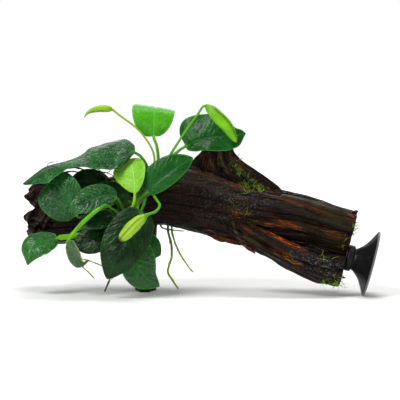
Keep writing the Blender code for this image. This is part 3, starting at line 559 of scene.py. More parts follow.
# The wood's relief follows its grain: furrows, knobs and long cracks, all in mm.
def makeReliefTree():
    tree, given = startTree("woodRelief", dict.fromkeys(
        ("Furrow height", "Furrow width", "Knob height", "Crack depth"), "NodeSocketFloat"))
    grain = addNode(tree, "GeometryNodeInputNamedAttribute", {"data_type": "FLOAT_VECTOR"}, {0: "grain"})[0]
    rough = addNode(tree, "GeometryNodeInputNamedAttribute", {"data_type": "FLOAT"}, {0: "rough"})[0]
    # each wave: how far it is stretched along the grain, how many in 1 mm, how fine, and its gain about 0.5
    pace = addNode(tree, "ShaderNodeMath", {"operation": "DIVIDE"}, {0: 1.0, 1: given["Furrow width"]})[0]
    waves = {}
    for title, (stretch, scale, detail, gain) in {
            "furrow": (0.09, pace, 1.5, 2.6), "threads": (0.1, 0.75, 2.0, 1.0),
            "knobs": (0.5, 0.34, 3.0, 2.4), "ripple": (0.04, 0.15, 1.0, 1.0)}.items():
        way = addNode(tree, "ShaderNodeVectorMath", {"operation": "MULTIPLY"}, {
            0: grain, 1: (stretch, 1.0, 1.0)})[0]
        noise = addNode(tree, "ShaderNodeTexNoise", None, {
            "Vector": way, "Scale": scale, "Detail": detail, "Roughness": 0.55})["Fac"]
        waves[title] = addNode(tree, "ShaderNodeMath", {"operation": "MULTIPLY_ADD"}, {
            0: noise, 1: gain, 2: -0.5 * gain})[0]
    height = 0.0
    for title, amount in (
            ("furrow", given["Furrow height"]), ("threads", 0.7), ("knobs", given["Knob height"])):
        height = addNode(tree, "ShaderNodeMath", {"operation": "MULTIPLY_ADD"}, {
            0: waves[title], 1: amount, 2: height})[0]
    # cracks open where the ripple crosses its level
    level = addNode(tree, "ShaderNodeMath", {"operation": "ABSOLUTE"}, {0: waves["ripple"]})[0]
    crack = addNode(tree, "ShaderNodeMapRange", {"interpolation_type": "SMOOTHSTEP"}, {
        0: level, 1: 0.0, 2: 0.03, 3: 1.0, 4: 0.0})[0]
    height, crack = (
        addNode(tree, "ShaderNodeMath", {"operation": "MULTIPLY"}, {0: part, 1: rough})[0]
        for part in (height, crack))
    sunk = addNode(tree, "ShaderNodeMath", {"operation": "MULTIPLY"}, {0: crack, 1: given["Crack depth"]})[0]
    full = addNode(tree, "ShaderNodeMath", {"operation": "SUBTRACT"}, {0: height, 1: sunk})[0]
    metres = addNode(tree, "ShaderNodeMath", {"operation": "MULTIPLY"}, {0: full, 1: mm})[0]
    # this relief value, stored for the colour, paints the furrows darker and the ridges paler: painted shade
    # and highlight
    shade = addNode(tree, "ShaderNodeMath", {"operation": "MULTIPLY_ADD"}, {0: height, 1: 0.3, 2: 0.5})[0]
    normal = addNode(tree, "GeometryNodeInputNormal")[0]
    offset = addNode(tree, "ShaderNodeVectorMath", {"operation": "SCALE"}, {0: normal, "Scale": metres})[0]
    geometry = given["Geometry"]
    for title, value in (("relief", shade), ("crack", crack)):
        geometry = addNode(tree, "GeometryNodeStoreNamedAttribute", {
            "data_type": "FLOAT", "domain": "POINT"}, {0: geometry, 2: title, 3: value})[0]
    moved = addNode(tree, "GeometryNodeSetPosition", None, {"Geometry": geometry, "Offset": offset})[0]
    return finishTree(tree, moved, given)


woodRelief = makeReliefTree()


# Rows that close an end, from its edge to its middle, with their grain and roughness.
def capRows(edge, edgeGrain, hub, worn):
    shrink = np.concatenate([[0.985], np.linspace(0.93, 0.06, woodForm["capRows"] - 1)])[:, None, None]
    cap = hub + (edge - hub) * shrink
    hubGrain = edgeGrain.mean(axis=0)
    return cap, hubGrain + (edgeGrain - hubGrain) * shrink, np.full(cap.shape[:2], worn)


def buildWood(name, wood):
    rows, columns, capCount = wood["rows"], wood["columns"], woodForm["capRows"]
    angles = fullTurn * np.arange(columns) / columns
    ends = np.ones(columns)
    if wood["sawn"]:
        low, high = np.full(columns, 0.5), np.ones(columns)
        for _ in range(30):
            middle = (low + high) / 2
            past = (woodSurface(wood, middle, angles) - sawPoint) @ sawNormal > 0
            low, high = np.where(past, low, middle), np.where(past, middle, high)
        ends = low
    steps = np.linspace(0, 1, rows)
    share = (steps[:, None] * ends).ravel()
    turned = np.tile(angles, rows)
    rings = woodSurface(wood, share, turned).reshape(rows, columns, 3)
    # grain lines keep their place round the wood, so they spread where it flares
    stations = np.array(wood["stations"])
    _, meanY, _, meanHigh, meanDeep = stations.mean(axis=0)
    grain = np.stack([
        share * pathLength(stations[:, :3]), meanHigh * np.cos(turned), meanDeep * np.sin(turned)], -1)
    grain = grain.reshape(rows, columns, 3)

    # sink the grooves towards the middle of the wood, raise the folds and swell the broken end into lumps
    front = smoothStep(2.0, -4.0, rings[..., 1] - meanY)
    inward = unit(rings.mean(axis=1, keepdims=True) - rings)
    sunk, raised = (
        np.max([np.zeros((rows, columns)), *(height * nearLine(rings, line, width) * front
                                             for line, height, width in wood[key])], axis=0)
        for key in ("grooves", "folds"))
    broken = 1 - smoothStep(0.0, 0.13, steps)[:, None] * np.ones(columns)
    raised = raised + wood["crag"] * softNoise(rings, woodForm["lumps"], 6) * broken
    rings = rings + inward * (sunk - raised)[..., None]
    if wood["flat"]:
        rings[..., 2] = np.maximum(rings[..., 2], 0.05)

    # close the ends: a sunken, splintered break, a saw cut, or a worn crown
    starts, finish = rings[0].mean(axis=0), rings[-1].mean(axis=0)
    way = unit(rings[8].mean(axis=0) - starts)
    startHub = starts + way * (woodForm["hollow"] if wood["jagged"] else -1.0)
    crown = 0.0 if wood["sawn"] or wood["flat"] else woodForm["crown"]
    endHub = finish + crown * unit(finish - rings[-6].mean(axis=0))
    first, firstGrain, firstRough = capRows(rings[0], grain[0], startHub, woodForm["brokenRough"])
    if wood["jagged"]:
        pits = sum(softNoise(first, size, seed) * depth for size, seed, depth in woodForm["pits"])
        first = first + way * (pits * np.linspace(0.2, 1.0, capCount)[:, None])[..., None]
    final, finalGrain, finalRough = capRows(
        rings[-1], grain[-1], endHub, woodForm["sawnRough" if wood["sawn"] else "wornRough"])
    allRings = np.concatenate([first[::-1], rings, final])
    allGrain = np.concatenate([firstGrain[::-1], grain, finalGrain])
    rough = np.concatenate([firstRough[::-1], 1 - 0.3 * wood["crag"] * broken, finalRough])
    sawn = np.zeros(rough.shape)
    if wood["sawn"]:
        sawn[-capCount:] = 1.0
        calm = np.array(woodForm["calm"])[:, None]
        rough[-capCount - len(calm):-capCount] *= calm
    if wood["flat"]:
        rough = rough * smoothStep(0.3, 4.0, allRings[..., 2])

    front = smoothStep(4.0, -2.0, allRings[..., 1] - meanY)
    attributes = {"grain": allGrain, "rough": rough, "sawn": sawn, "edge": 0 * rough}
    for tint, gain, rest in (("warm", 1.0, 0.04), ("grey", 0.75, 0.08), ("algae", 1.0, 0.15)):
        attributes[tint] = tintShare(allRings, wood[tint], math.radians(wood["slope"])) * front * gain + rest
    # the pale tint along these lines is partly wear and partly a painted highlight
    for line, width, strength in wood["edges"]:
        worn = strength * nearLine(allRings, line, width) * front
        attributes["edge"] = np.maximum(attributes["edge"], worn)
    startPoint, endPoint = allRings[0].mean(axis=0), allRings[-1].mean(axis=0)
    piece = closedSkin(name, allRings, startPoint, endPoint, attributes, driftwood)
    return growWithNodes(piece, woodRelief, {
        "Furrow height": wood["furrow"], "Furrow width": woodForm["furrowWidth"],
        "Knob height": wood["knobs"], "Crack depth": wood["crackDepth"], "Material": driftwood})


woodPieces = {}
for part, node, wood in (
        ("trunk", "driftwood_trunk", trunk), ("limb", "driftwood_lower_limb", lowerLimb),
        ("stump", "driftwood_branch_stump", branchStump), ("spur", "driftwood_spur", spur)):
    piece = buildWood("driftwood_" + part + "_surface", {**plainWood, **wood})
    woodPieces[part] = settle(piece, "driftwood", node)

# Loose bark and splinters: path, half height and half depth in the middle, and the shares of the raw and the
# pale tint; the pale tint is partly wear and partly painted highlight.
splinters = {
    "driftwood_flap": (
        ((2.0, -2.6, 33.4), (9.4, -2.8, 30.6), (16.1, -3.0, 29.5), (21.6, -3.2, 28.2), (27.6, -3.4, 27.2)),
        1.5, 1.6, 0.3, 0.2),
    "driftwood_flake_left": (((44.6, 3.0, 56.6), (47.4, 2.8, 56.2), (50.0, 2.6, 55.2)), 0.8, 1.6, 0.0, 0.1),
    "driftwood_flake_right": (
        ((50.8, 3.0, 55.5), (54.2, 2.8, 54.7), (58.4, 2.6, 52.8)), 0.8, 1.6, 0.0, 0.1),
    "driftwood_corner": (((84.2, 2.0, 46.2), (86.4, 1.6, 46.6), (87.8, 1.4, 47.0)), 0.9, 1.8, 0.3, 0.8),
    "driftwood_stub": (((74.6, -9.0, 12.0), (77.6, -9.6, 11.2), (80.4, -10.0, 10.4)), 0.7, 0.8, 0.0, 0.0),
    "driftwood_limb_splinter": (
        ((20.6, -14.0, 31.0), (25.0, -14.4, 27.0), (30.0, -14.0, 23.6)), 0.9, 0.9, 0.5, 0.5),
}
splinterForm = {"rows": 60, "columns": 28, "relief": 0.5, "grey": 0.2, "algae": 0.2, "firstSeed": 20}


def buildSplinter(name, path, high, deep, raw, pale, seed):
    shares = np.linspace(0, 1, splinterForm["rows"])
    line = splineRows(path, shares * (len(path) - 1))
    sides = unit(np.cross(tangentsOf(line), (0.0, 1.0, 0.0)))
    columns = splinterForm["columns"]
    turns, along = np.meshgrid(fullTurn * np.arange(columns) / columns, shares)
    spots = np.stack([along * 9, np.cos(turns)], -1)
    thick = np.sqrt(np.clip(np.sin(math.pi * (0.03 + 0.94 * along)), 0, 1))
    thick = thick * (1 + 0.16 * softNoise(spots, 2.2, seed) + 0.08 * softNoise(spots, 0.8, seed + 1))
    rings = line[:, None] + (thick * high * np.cos(turns))[..., None] * sides[:, None]
    rings[..., 1] += thick * deep * np.sin(turns)
    attributes = {"grain": np.stack([
        along * pathLength(line), high * np.cos(turns), deep * np.sin(turns) + seed], -1)}
    for key, value in {
            "relief": splinterForm["relief"], "crack": 0.0, "warm": raw, "grey": splinterForm["grey"],
            "algae": splinterForm["algae"], "sawn": 0.0, "edge": pale}.items():
        attributes[key] = np.full(thick.shape, value)
    return closedSkin(name, rings, line[0], line[-1], attributes, driftwood)


for seed, (title, values) in enumerate(splinters.items(), splinterForm["firstSeed"]):
    settle(buildSplinter(title, *values, seed), "driftwood")
print("wood done")

# Suction cup

# The profile gives the reach from the saw cut and the radius in mm, from the neck over the rim into the
# hollow. The solid has 24 sides.
cup = {
    "radius": 18.5, "length": 14.6, "offsetY": -2.0, "gap": 0.35, "sides": 144, "solidSides": 24,
    "profile": (
        (0.0, 6.6), (0.12, 6.95), (0.4, 7.2), (0.8, 7.3), (1.9, 7.3), (3.0, 7.25), (3.3, 7.1), (3.55, 6.8),
        (3.7, 6.4), (3.85, 6.15), (4.1, 6.1), (4.6, 6.3), (5.4, 6.8), (6.4, 7.6), (7.5, 8.6), (8.6, 9.8),
        (9.6, 11.1), (10.6, 12.7), (11.6, 14.4), (12.4, 16.0), (13.0, 17.2), (13.4, 18.0), (13.7, 18.4),
        (14.1, 18.5), (14.45, 18.48), (14.6, 18.3), (14.6, 17.8), (14.5, 17.2), (14.2, 16.2), (13.8, 15.0),
        (13.3, 13.7), (12.8, 12.0), (12.3, 9.6), (12.0, 7.6), (11.85, 5.0), (11.8, 2.4)),
}


def buildCup():
    profile = np.array(cup["profile"])
    line = splineRows(profile, np.linspace(0, len(profile) - 1, 3 * len(profile)))
    turns, reach = np.meshgrid(fullTurn * np.arange(cup["sides"]) / cup["sides"], line[:, 0])
    radius = line[:, 1][:, None] + 0 * turns
    # shallow creases where the cone was pressed, fading at the rim
    cone = smoothStep(6.0, 9.0, reach) * smoothStep(14.0, 11.0, reach)
    radius = radius * (1 + 0.006 * cone * np.sin(9 * turns + 0.8) + 0.003 * cone * np.sin(23 * turns))
    local = np.stack([reach, radius * np.sin(turns), radius * np.cos(turns)], -1)
    turn = np.array(Matrix.Rotation(-sawYaw, 3, "Z") @ Matrix.Rotation(sawTilt, 3, "Y"))
    # the rim touches the floor with a flat of the solid
    flatRadius = cup["radius"] * math.cos(math.pi / cup["solidSides"])
    height = (cup["length"] + cup["gap"]) * math.sin(sawTilt) + flatRadius * math.cos(sawTilt)
    across = sawNormal[1] * (cup["offsetY"] - sawPoint[1]) + sawNormal[2] * (height - sawPoint[2])
    seat = np.array((sawPoint[0] - across / sawNormal[0], cup["offsetY"], height)) + cup["gap"] * sawNormal
    rings = local @ turn.T + seat
    # the paler rim colour is a painted highlight along the lip
    rim = smoothStep(13.2, 13.9, reach) * smoothStep(17.0, 18.2, radius)
    # flow marks: about 1.5 mm apart round the cone and stretched along it
    around = np.stack([reach * 0.15, 9 * np.cos(turns), 9 * np.sin(turns)], -1)
    attributes = {"rim": rim, "around": around}
    return closedSkin("suction_cup_bell", rings, seat, rings[-1].mean(axis=0), attributes, rubber)


settle(buildCup(), "rubber", "suction_cup")
print("suction cup done")

# Leaves

# Each look has the blade's two greens, the veins, the margin, the underside, the stem and the bloom and sheen
# colour, a pale waxy bloom that also paints sheen in specks, how much of the midrib, the veins and the
# painted bloom and sheen shows, and how rough, how wet (coat) and how wrinkled (relief) the skin is.
leafLooks = {
    "deep": {
        "low": "#061a06", "high": "#14360c", "vein": "#1d4a16", "rim": "#22521a", "under": "#1f4a1f",
        "stem": "#326a16", "ribShow": 0.3, "veinShow": 0.18, "roughness": 0.32, "bloomAndSheen": "#2c4a38",
        "bloomAndSheenShow": 0.25, "coat": 0.18, "relief": 0.5},
    "dark": {
        "low": "#062c08", "high": "#125412", "vein": "#2c6a26", "rim": "#2f7424", "under": "#2f6a2d",
        "stem": "#35781a", "ribShow": 0.3, "veinShow": 0.22, "roughness": 0.3, "bloomAndSheen": "#4a7a58",
        "bloomAndSheenShow": 0.42, "coat": 0.34, "relief": 0.6},
    "middle": {
        "low": "#0b370d", "high": "#165416", "vein": "#2f7a2a", "rim": "#338226", "under": "#3f7c38",
        "stem": "#4b8f1c", "ribShow": 0.25, "veinShow": 0.22, "roughness": 0.32, "bloomAndSheen": "#3f7050",
        "bloomAndSheenShow": 0.14, "coat": 0.13, "relief": 0.3},
    "fresh": {
        "low": "#11450e", "high": "#21601a", "vein": "#3a8030", "rim": "#3f9a2a", "under": "#4a8840",
        "stem": "#66ac10", "ribShow": 0.4, "veinShow": 0.2, "roughness": 0.36, "bloomAndSheen": "#5c8c66",
        "bloomAndSheenShow": 0.26, "coat": 0.5, "relief": 0.5},
    "bright": {
        "low": "#2f8010", "high": "#479c18", "vein": "#67b03c", "rim": "#6fb83c", "under": "#7fb75a",
        "stem": "#5fa41c", "ribShow": 0.5, "veinShow": 0.3, "roughness": 0.34, "bloomAndSheen": "#74b450",
        "bloomAndSheenShow": 0.2, "coat": 0.12, "relief": 0.25},
    "lime": {
        "low": "#62a01e", "high": "#7cb43a", "vein": "#a2cf5c", "rim": "#86b83a", "under": "#9ccf66",
        "stem": "#86bd1e", "ribShow": 0.6, "veinShow": 0.4, "roughness": 0.34, "bloomAndSheen": "#98c860",
        "bloomAndSheenShow": 0.2, "coat": 0.12, "relief": 0.35},
    "faded": {
        "low": "#2a4424", "high": "#486240", "vein": "#5c7650", "rim": "#a3b288", "under": "#2f4428",
        "stem": "#4f8f1c", "ribShow": 0.5, "veinShow": 0.3, "roughness": 0.36, "bloomAndSheen": "#6c8468",
        "bloomAndSheenShow": 0.4, "coat": 0.12, "relief": 0.6},
}

# Clouds are 8 mm across and cells 1 mm. Wrinkles are 2 mm apart and 4 mm long.
leafSkin = {
    "cloudScale": 130.0, "cellScale": 800.0, "wrinkleScale": 0.5, "bumpDepth": 0.0003, "coatRoughness": 0.12,
    "shine": 0.06,
}


# Leathery green blade with a waxy skin, wet here: broad soft shine broken up by wrinkles that run with the
# side veins, and a pale sheen painted into the colour in fine specks over the waxy bloom.
def makeLeafSkin(name, look):
    material, tree, shader, coords = startMaterial(name)
    across, veins, rim, stem, under = (
        addNode(tree, "ShaderNodeAttribute", {"attribute_name": key})["Fac"]
        for key in ("across", "veins", "rim", "stem", "under"))
    flow = addNode(tree, "ShaderNodeAttribute", {"attribute_name": "flow"})["Vector"]
    clouds, cells = (
        addNode(tree, "ShaderNodeTexNoise", None, {
            "Vector": coords, "Scale": leafSkin[key], "Detail": detail})["Fac"]
        for key, detail in (("cloudScale", 4.0), ("cellScale", 3.0)))
    pleats = addNode(tree, "ShaderNodeVectorMath", {"operation": "MULTIPLY"}, {
        0: flow, 1: (1.0, 0.5, 1.0)})[0]
    wrinkles = addNode(tree, "ShaderNodeTexNoise", None, {
        "Vector": pleats, "Scale": leafSkin["wrinkleScale"], "Detail": 2.5, "Distortion": 0.7})["Fac"]
    # side veins lie where the phase is a whole number, and the midrib where the place across is 0
    fold = addNode(tree, "ShaderNodeMath", {"operation": "PINGPONG"}, {0: veins, 1: 0.5})[0]
    width = addNode(tree, "ShaderNodeMath", {"operation": "ABSOLUTE"}, {0: across})[0]
    colour = paintLayers(tree, linear(look["low"]), [
        (look[over], *layer) for over, *layer in (
            # the low layer darkens the wrinkles' troughs, scaled with the bump relief: painted shade
            ("high", clouds, 0.34, 0.64, 1.0), ("low", wrinkles, 0.5, 0.3, 0.55 * look["relief"]),
            # the bloom and sheen layer: pale specks that are partly the waxy bloom and partly a painted sheen
            ("bloomAndSheen", cells, 0.44, 0.72, look["bloomAndSheenShow"]), ("vein", fold, 0.085, 0.0, look["veinShow"]),
            ("vein", width, 0.45, 0.15, look["ribShow"]), ("rim", rim, 0.3, 1.0, 0.7),
            ("under", under, 0.0, 1.0, 1.0), ("stem", stem, 0.0, 1.0, 1.0))])
    roughness = addNode(tree, "ShaderNodeMapRange", None, {
        0: wrinkles, 1: 0.3, 2: 0.7, 3: look["roughness"] + 0.08, 4: look["roughness"] - 0.08})[0]
    height = addNode(tree, "ShaderNodeMath", {"operation": "MULTIPLY_ADD"}, {
        0: wrinkles, 1: 4.5, 2: cells})[0]
    bump = addNode(tree, "ShaderNodeBump", None, {
        "Strength": look["relief"], "Distance": leafSkin["bumpDepth"], "Height": height})[0]
    feed(tree, shader, {
        "Base Color": colour, "Roughness": roughness, "Normal": bump, "Coat Normal": bump,
        "Coat Weight": look["coat"], "Coat Roughness": leafSkin["coatRoughness"],
        "Specular IOR Level": leafSkin["shine"]})
    return material


leafSkins = {title: makeLeafSkin(title + " anubias leaf", look) for title, look in leafLooks.items()}

# Shared by all leaves, in mm. The counts of stalk and ring shares are the solid's.
leafForm = {
    "petioleRadius": 0.9, "blade": 0.5, "margin": 0.14, "perSide": 40, "stemRows": 26, "bladeRows": 92,
    "ringShares": 9, "stalkShares": 5, "ribWidth": 0.8,
}

# A leaf has a stem, a midrib from the blade's base to its tip, the way its upper side faces at the base,
# its two half widths, how far along it is widest, how many degrees it turns by halfway, its rounded lobes,
# how far its margins fold, droop and wave, the number of side veins, how quilted the skin is, how much the
# margin frills, how pinched the tip is, and its look. Rise and blunt are how fast it widens and narrows, wing
# how much its stem flattens below the blade, and outline how far along and times as wide, for each half.
plainLeaf = {
    "turn": 0.0, "waves": 2.0, "frill": 0.1, "pinch": 0.0, "rise": 0.5, "blunt": 1.0, "wing": 0.0,
    "outline": (((0.0, 1.0), (1.0, 1.0)),) * 2, "slot": "leaf_green",
}
leaves = {
    "leaf_long_top": {
        "stem": ((-31.5, -16.8, 56.0), (-30.6, -21.5, 64.5), (-30.2, -22.5, 70.5), (-33.0, -23.8, 75.4)),
        "midrib": (
            (-36.4, -24.8, 77.8), (-44.0, -25.0, 80.7), (-53.0, -25.4, 79.0), (-66.0, -26.6, 74.2),
            (-82.0, -29.4, 68.8), (-95.6, -32.5, 60.2)),
        "face": (0.1, -0.74, 0.67), "halves": (14.0, 12.8), "peak": 0.4, "turn": 32.0, "lobe": 0.0,
        "fold": 0.0, "droop": 0.24, "wave": 1.5, "waves": 2.6, "veins": 13, "quilt": 0.08, "frill": 0.5,
        "blunt": 0.76, "look": "dark",
        "outline": (
            ((0.0, 1.3), (0.1, 1.4), (0.2, 1.35), (0.3, 1.02), (0.4, 0.75), (0.5, 0.66), (0.6, 0.56),
             (0.68, 0.6), (0.77, 0.85), (0.83, 1.25), (0.88, 1.1), (0.94, 1.0), (1.0, 1.0)),
            ((0.0, 1.0), (0.26, 1.0), (0.34, 0.95), (0.42, 0.72), (0.48, 0.56), (0.54, 0.72), (0.62, 0.68),
             (0.72, 1.0), (0.8, 0.88), (0.9, 0.9), (1.0, 1.0)))},
    "leaf_round_left": {
        "stem": ((-49.6, -14.0, 40.6), (-54.5, -19.0, 43.4), (-60.0, -24.0, 43.6), (-64.3, -28.0, 42.8)),
        "midrib": ((-66.7, -30.6, 43.6), (-72.0, -31.8, 51.8), (-77.4, -30.2, 59.2), (-80.8, -25.2, 63.6)),
        "face": (-0.3, -0.92, 0.25), "halves": (14.2, 10.4), "peak": 0.54, "lobe": 0.24, "fold": 0.1,
        "droop": 0.1, "wave": 0.5, "veins": 8, "quilt": 0.11, "frill": 0.15, "look": "dark"},
    "leaf_mid_left": {
        "stem": ((-42.6, -15.9, 46.0), (-42.8, -24.8, 47.6), (-43.8, -30.2, 50.8)),
        "midrib": ((-45.6, -33.5, 53.6), (-52.0, -36.5, 55.0), (-60.5, -39.0, 52.2), (-70.0, -41.0, 46.4)),
        "face": (-0.1, -0.84, 0.52), "halves": (7.6, 7.6), "peak": 0.42, "lobe": 0.24, "fold": 0.1,
        "droop": 0.15, "wave": 0.5, "veins": 8, "quilt": 0.1, "pinch": 0.1, "look": "dark"},
    "leaf_dark_middle": {
        "stem": ((-36.8, -16.6, 50.9), (-37.2, -21.4, 51.0)),
        "midrib": ((-39.4, -23.2, 51.2), (-45.6, -25.0, 54.8), (-53.0, -26.2, 57.0), (-60.5, -27.2, 57.2)),
        "face": (0.0, -0.9, 0.42), "halves": (3.6, 6.4), "peak": 0.42, "lobe": 0.24, "fold": 0.1,
        "droop": 0.1, "wave": 0.4, "veins": 7, "quilt": 0.08, "pinch": 0.1, "look": "deep"},
    "leaf_shaded_back": {
        "stem": ((-43.6, -16.0, 45.2), (-46.4, -17.4, 51.0), (-48.0, -17.6, 54.4)),
        "midrib": ((-50.4, -17.8, 57.4), (-57.0, -18.4, 60.2), (-63.5, -19.0, 61.2), (-71.5, -20.0, 61.6)),
        "face": (0.0, -0.95, 0.3), "halves": (8.0, 7.8), "peak": 0.5, "lobe": 0.24, "fold": 0.08,
        "droop": 0.1, "wave": 0.3, "veins": 7, "quilt": 0.08, "pinch": 0.1, "look": "deep"},
    "leaf_lime_upright": {
        "stem": ((-43.2, -15.8, 44.6), (-42.4, -21.8, 42.4), (-38.8, -29.6, 45.8), (-36.2, -33.2, 51.6)),
        "midrib": ((-35.8, -34.2, 56.3), (-36.2, -33.6, 62.4), (-37.4, -29.0, 68.8), (-39.6, -21.6, 74.2)),
        "face": (-0.15, -0.98, 0.1), "halves": (10.6, 6.9), "peak": 0.56, "lobe": 0.2, "fold": 0.08,
        "droop": 0.1, "wave": 0.3, "veins": 7, "quilt": 0.09, "rise": 0.72, "look": "lime",
        "slot": "leaf_young"},
    "leaf_broad_right": {
        "stem": ((-40.2, -16.2, 47.8), (-38.4, -23.4, 47.8), (-35.0, -28.0, 51.6)),
        "midrib": ((-29.9, -30.2, 56.8), (-22.4, -31.4, 64.0), (-13.6, -31.5, 70.5), (-5.2, -28.5, 75.8)),
        "face": (0.15, -0.93, 0.34), "halves": (9.6, 6.2), "peak": 0.42, "lobe": 0.05, "fold": 0.08,
        "droop": 0.12, "wave": 0.3, "veins": 8, "quilt": 0.06, "look": "middle"},
    "leaf_top_right": {
        "stem": ((-24.8, -14.4, 63.0), (-18.5, -14.4, 74.0), (-13.4, -14.2, 79.0)),
        "midrib": ((-9.6, -14.5, 81.6), (-1.4, -16.5, 85.6), (11.0, -17.6, 87.6), (23.2, -17.0, 89.2)),
        "face": (-0.05, -0.92, 0.38), "halves": (13.2, 6.8), "peak": 0.4, "lobe": 0.24, "fold": 0.08,
        "droop": 0.1, "wave": 0.8, "waves": 2.6, "veins": 8, "quilt": 0.08, "pinch": 0.15, "look": "middle",
        "outline": (
            ((0.0, 1.4), (0.1, 1.36), (0.25, 1.17), (0.4, 1.08), (0.65, 1.03), (0.8, 0.8), (0.87, 0.62),
             (0.94, 0.8), (1.0, 1.0)),
            ((0.0, 1.0), (0.27, 0.95), (0.43, 1.12), (0.58, 1.26), (0.78, 1.75), (0.9, 2.4), (0.96, 2.0),
             (1.0, 1.0)))},
    "leaf_bright_top": {
        "stem": ((-27.0, -15.0, 60.6), (-25.4, -12.8, 68.0), (-24.4, -12.4, 75.0), (-25.4, -13.0, 82.0)),
        "midrib": (
            (-27.0, -14.0, 86.6), (-27.0, -16.6, 95.2), (-26.7, -13.0, 101.6), (-26.4, -3.0, 102.8),
            (-26.0, 5.0, 99.4)),
        "face": (0.05, -1.0, 0.1), "halves": (12.2, 11.0), "peak": 0.4, "lobe": 0.3, "fold": 0.0,
        "droop": 0.02, "wave": 0.2, "veins": 8, "quilt": 0.06, "frill": 0.05, "rise": 0.62,
        "look": "bright", "slot": "leaf_young"},
    "leaf_drooping_left": {
        "stem": ((-50.6, -13.6, 39.8), (-56.5, -18.4, 35.8), (-64.0, -21.6, 33.4), (-70.4, -26.6, 32.2)),
        "midrib": ((-77.1, -29.5, 31.4), (-84.0, -32.4, 30.2), (-90.0, -35.0, 26.8), (-92.3, -36.0, 17.2)),
        "face": (-0.1, -0.75, 0.65), "halves": (8.6, 7.2), "peak": 0.46, "lobe": 0.1, "fold": 0.1,
        "droop": 0.2, "wave": 0.3, "veins": 7, "quilt": 0.09, "pinch": 0.55, "wing": 1.3, "look": "fresh"},
    "leaf_curled_tip": {
        "stem": (
            (-48.6, -14.2, 41.4), (-50.4, -19.0, 45.4), (-54.6, -25.6, 43.4), (-61.2, -29.8, 38.2),
            (-67.0, -33.4, 36.0), (-69.6, -35.0, 33.4)),
        "midrib": ((-69.8, -35.4, 30.8), (-67.6, -36.4, 24.6), (-64.2, -36.2, 18.6), (-59.6, -34.2, 20.2)),
        "face": (-0.68, -0.73, 0.0), "halves": (5.4, 5.0), "peak": 0.4, "lobe": 0.1, "fold": 0.2,
        "droop": 0.0, "wave": 0.2, "veins": 6, "quilt": 0.06, "pinch": 0.2, "look": "faded"},
    "leaf_under_left": {
        "stem": ((-47.6, -14.6, 42.3), (-47.9, -22.5, 43.0)),
        "midrib": ((-48.4, -27.5, 44.2), (-53.2, -31.5, 43.6), (-60.0, -33.5, 41.4), (-65.6, -34.4, 39.0)),
        "face": (-0.05, -0.85, 0.5), "halves": (7.4, 5.2), "peak": 0.42, "lobe": 0.1, "fold": 0.1,
        "droop": 0.1, "wave": 0.3, "veins": 6, "quilt": 0.07, "frill": 0.05, "pinch": 0.1, "look": "deep"},
    "leaf_low_left": {
        "stem": ((-46.2, -14.8, 43.0), (-45.6, -19.4, 39.8)),
        "midrib": ((-46.0, -23.4, 38.0), (-52.0, -26.6, 34.8), (-59.6, -28.2, 31.0), (-68.0, -28.4, 27.4)),
        "face": (0.0, -0.93, 0.35), "halves": (9.0, 7.2), "peak": 0.52, "lobe": 0.2, "fold": 0.08,
        "droop": 0.1, "wave": 0.3, "veins": 7, "quilt": 0.08, "frill": 0.05, "pinch": 0.1, "look": "deep"},
    "leaf_front_dark": {
        "stem": ((-32.2, -16.6, 55.2), (-30.6, -25.0, 54.6), (-30.4, -31.5, 52.4)),
        "midrib": ((-32.0, -36.5, 47.6), (-36.8, -41.0, 37.6), (-43.4, -44.0, 24.4), (-49.2, -43.5, 11.4)),
        "face": (0.1, -0.95, 0.3), "halves": (12.2, 12.0), "peak": 0.42, "lobe": 0.24, "fold": 0.08,
        "droop": 0.12, "wave": 0.4, "veins": 9, "quilt": 0.09, "pinch": 0.15, "look": "deep"},
    "leaf_low_right": {
        "stem": ((-35.4, -16.6, 52.1), (-35.0, -22.5, 44.5), (-34.6, -24.0, 37.0)),
        "midrib": ((-34.4, -24.8, 31.0), (-34.6, -28.6, 22.0), (-31.0, -29.5, 12.2), (-22.0, -27.5, 6.0)),
        "face": (0.05, -0.96, 0.3), "halves": (9.8, 9.8), "peak": 0.4, "lobe": 0.24, "fold": 0.06,
        "droop": 0.12, "wave": 0.3, "veins": 8, "quilt": 0.08, "pinch": 0.2, "look": "fresh"},
    "leaf_behind_right": {
        "stem": ((-39.2, -16.2, 48.5), (-39.4, -18.4, 42.0), (-40.6, -18.2, 33.0)),
        "midrib": ((-38.2, -16.6, 27.0), (-32.4, -17.5, 26.4), (-26.6, -18.0, 25.0), (-22.0, -16.5, 22.0)),
        "face": (0.1, -0.98, 0.15), "halves": (8.4, 8.2), "peak": 0.42, "lobe": 0.2, "fold": 0.05,
        "droop": 0.1, "wave": 0.2, "veins": 7, "quilt": 0.07, "frill": 0.05, "pinch": 0.1,
        "look": "middle"},
}


def bladeShare(t, peak, rise, blunt):
    fall = blunt * 0.5 * (1 - peak) / peak
    return (t / peak) ** rise * ((1 - t) / (1 - peak)) ** fall


# Times as wide along one half of a blade, eased between the rows.
def outlineShare(far, rows):
    grid = np.linspace(0, 1, 201)
    shares = np.pad(np.interp(grid, *np.array(rows).T), 6, mode="edge")
    return np.interp(far, grid, np.convolve(shares, np.ones(13) / 13, mode="valid"))


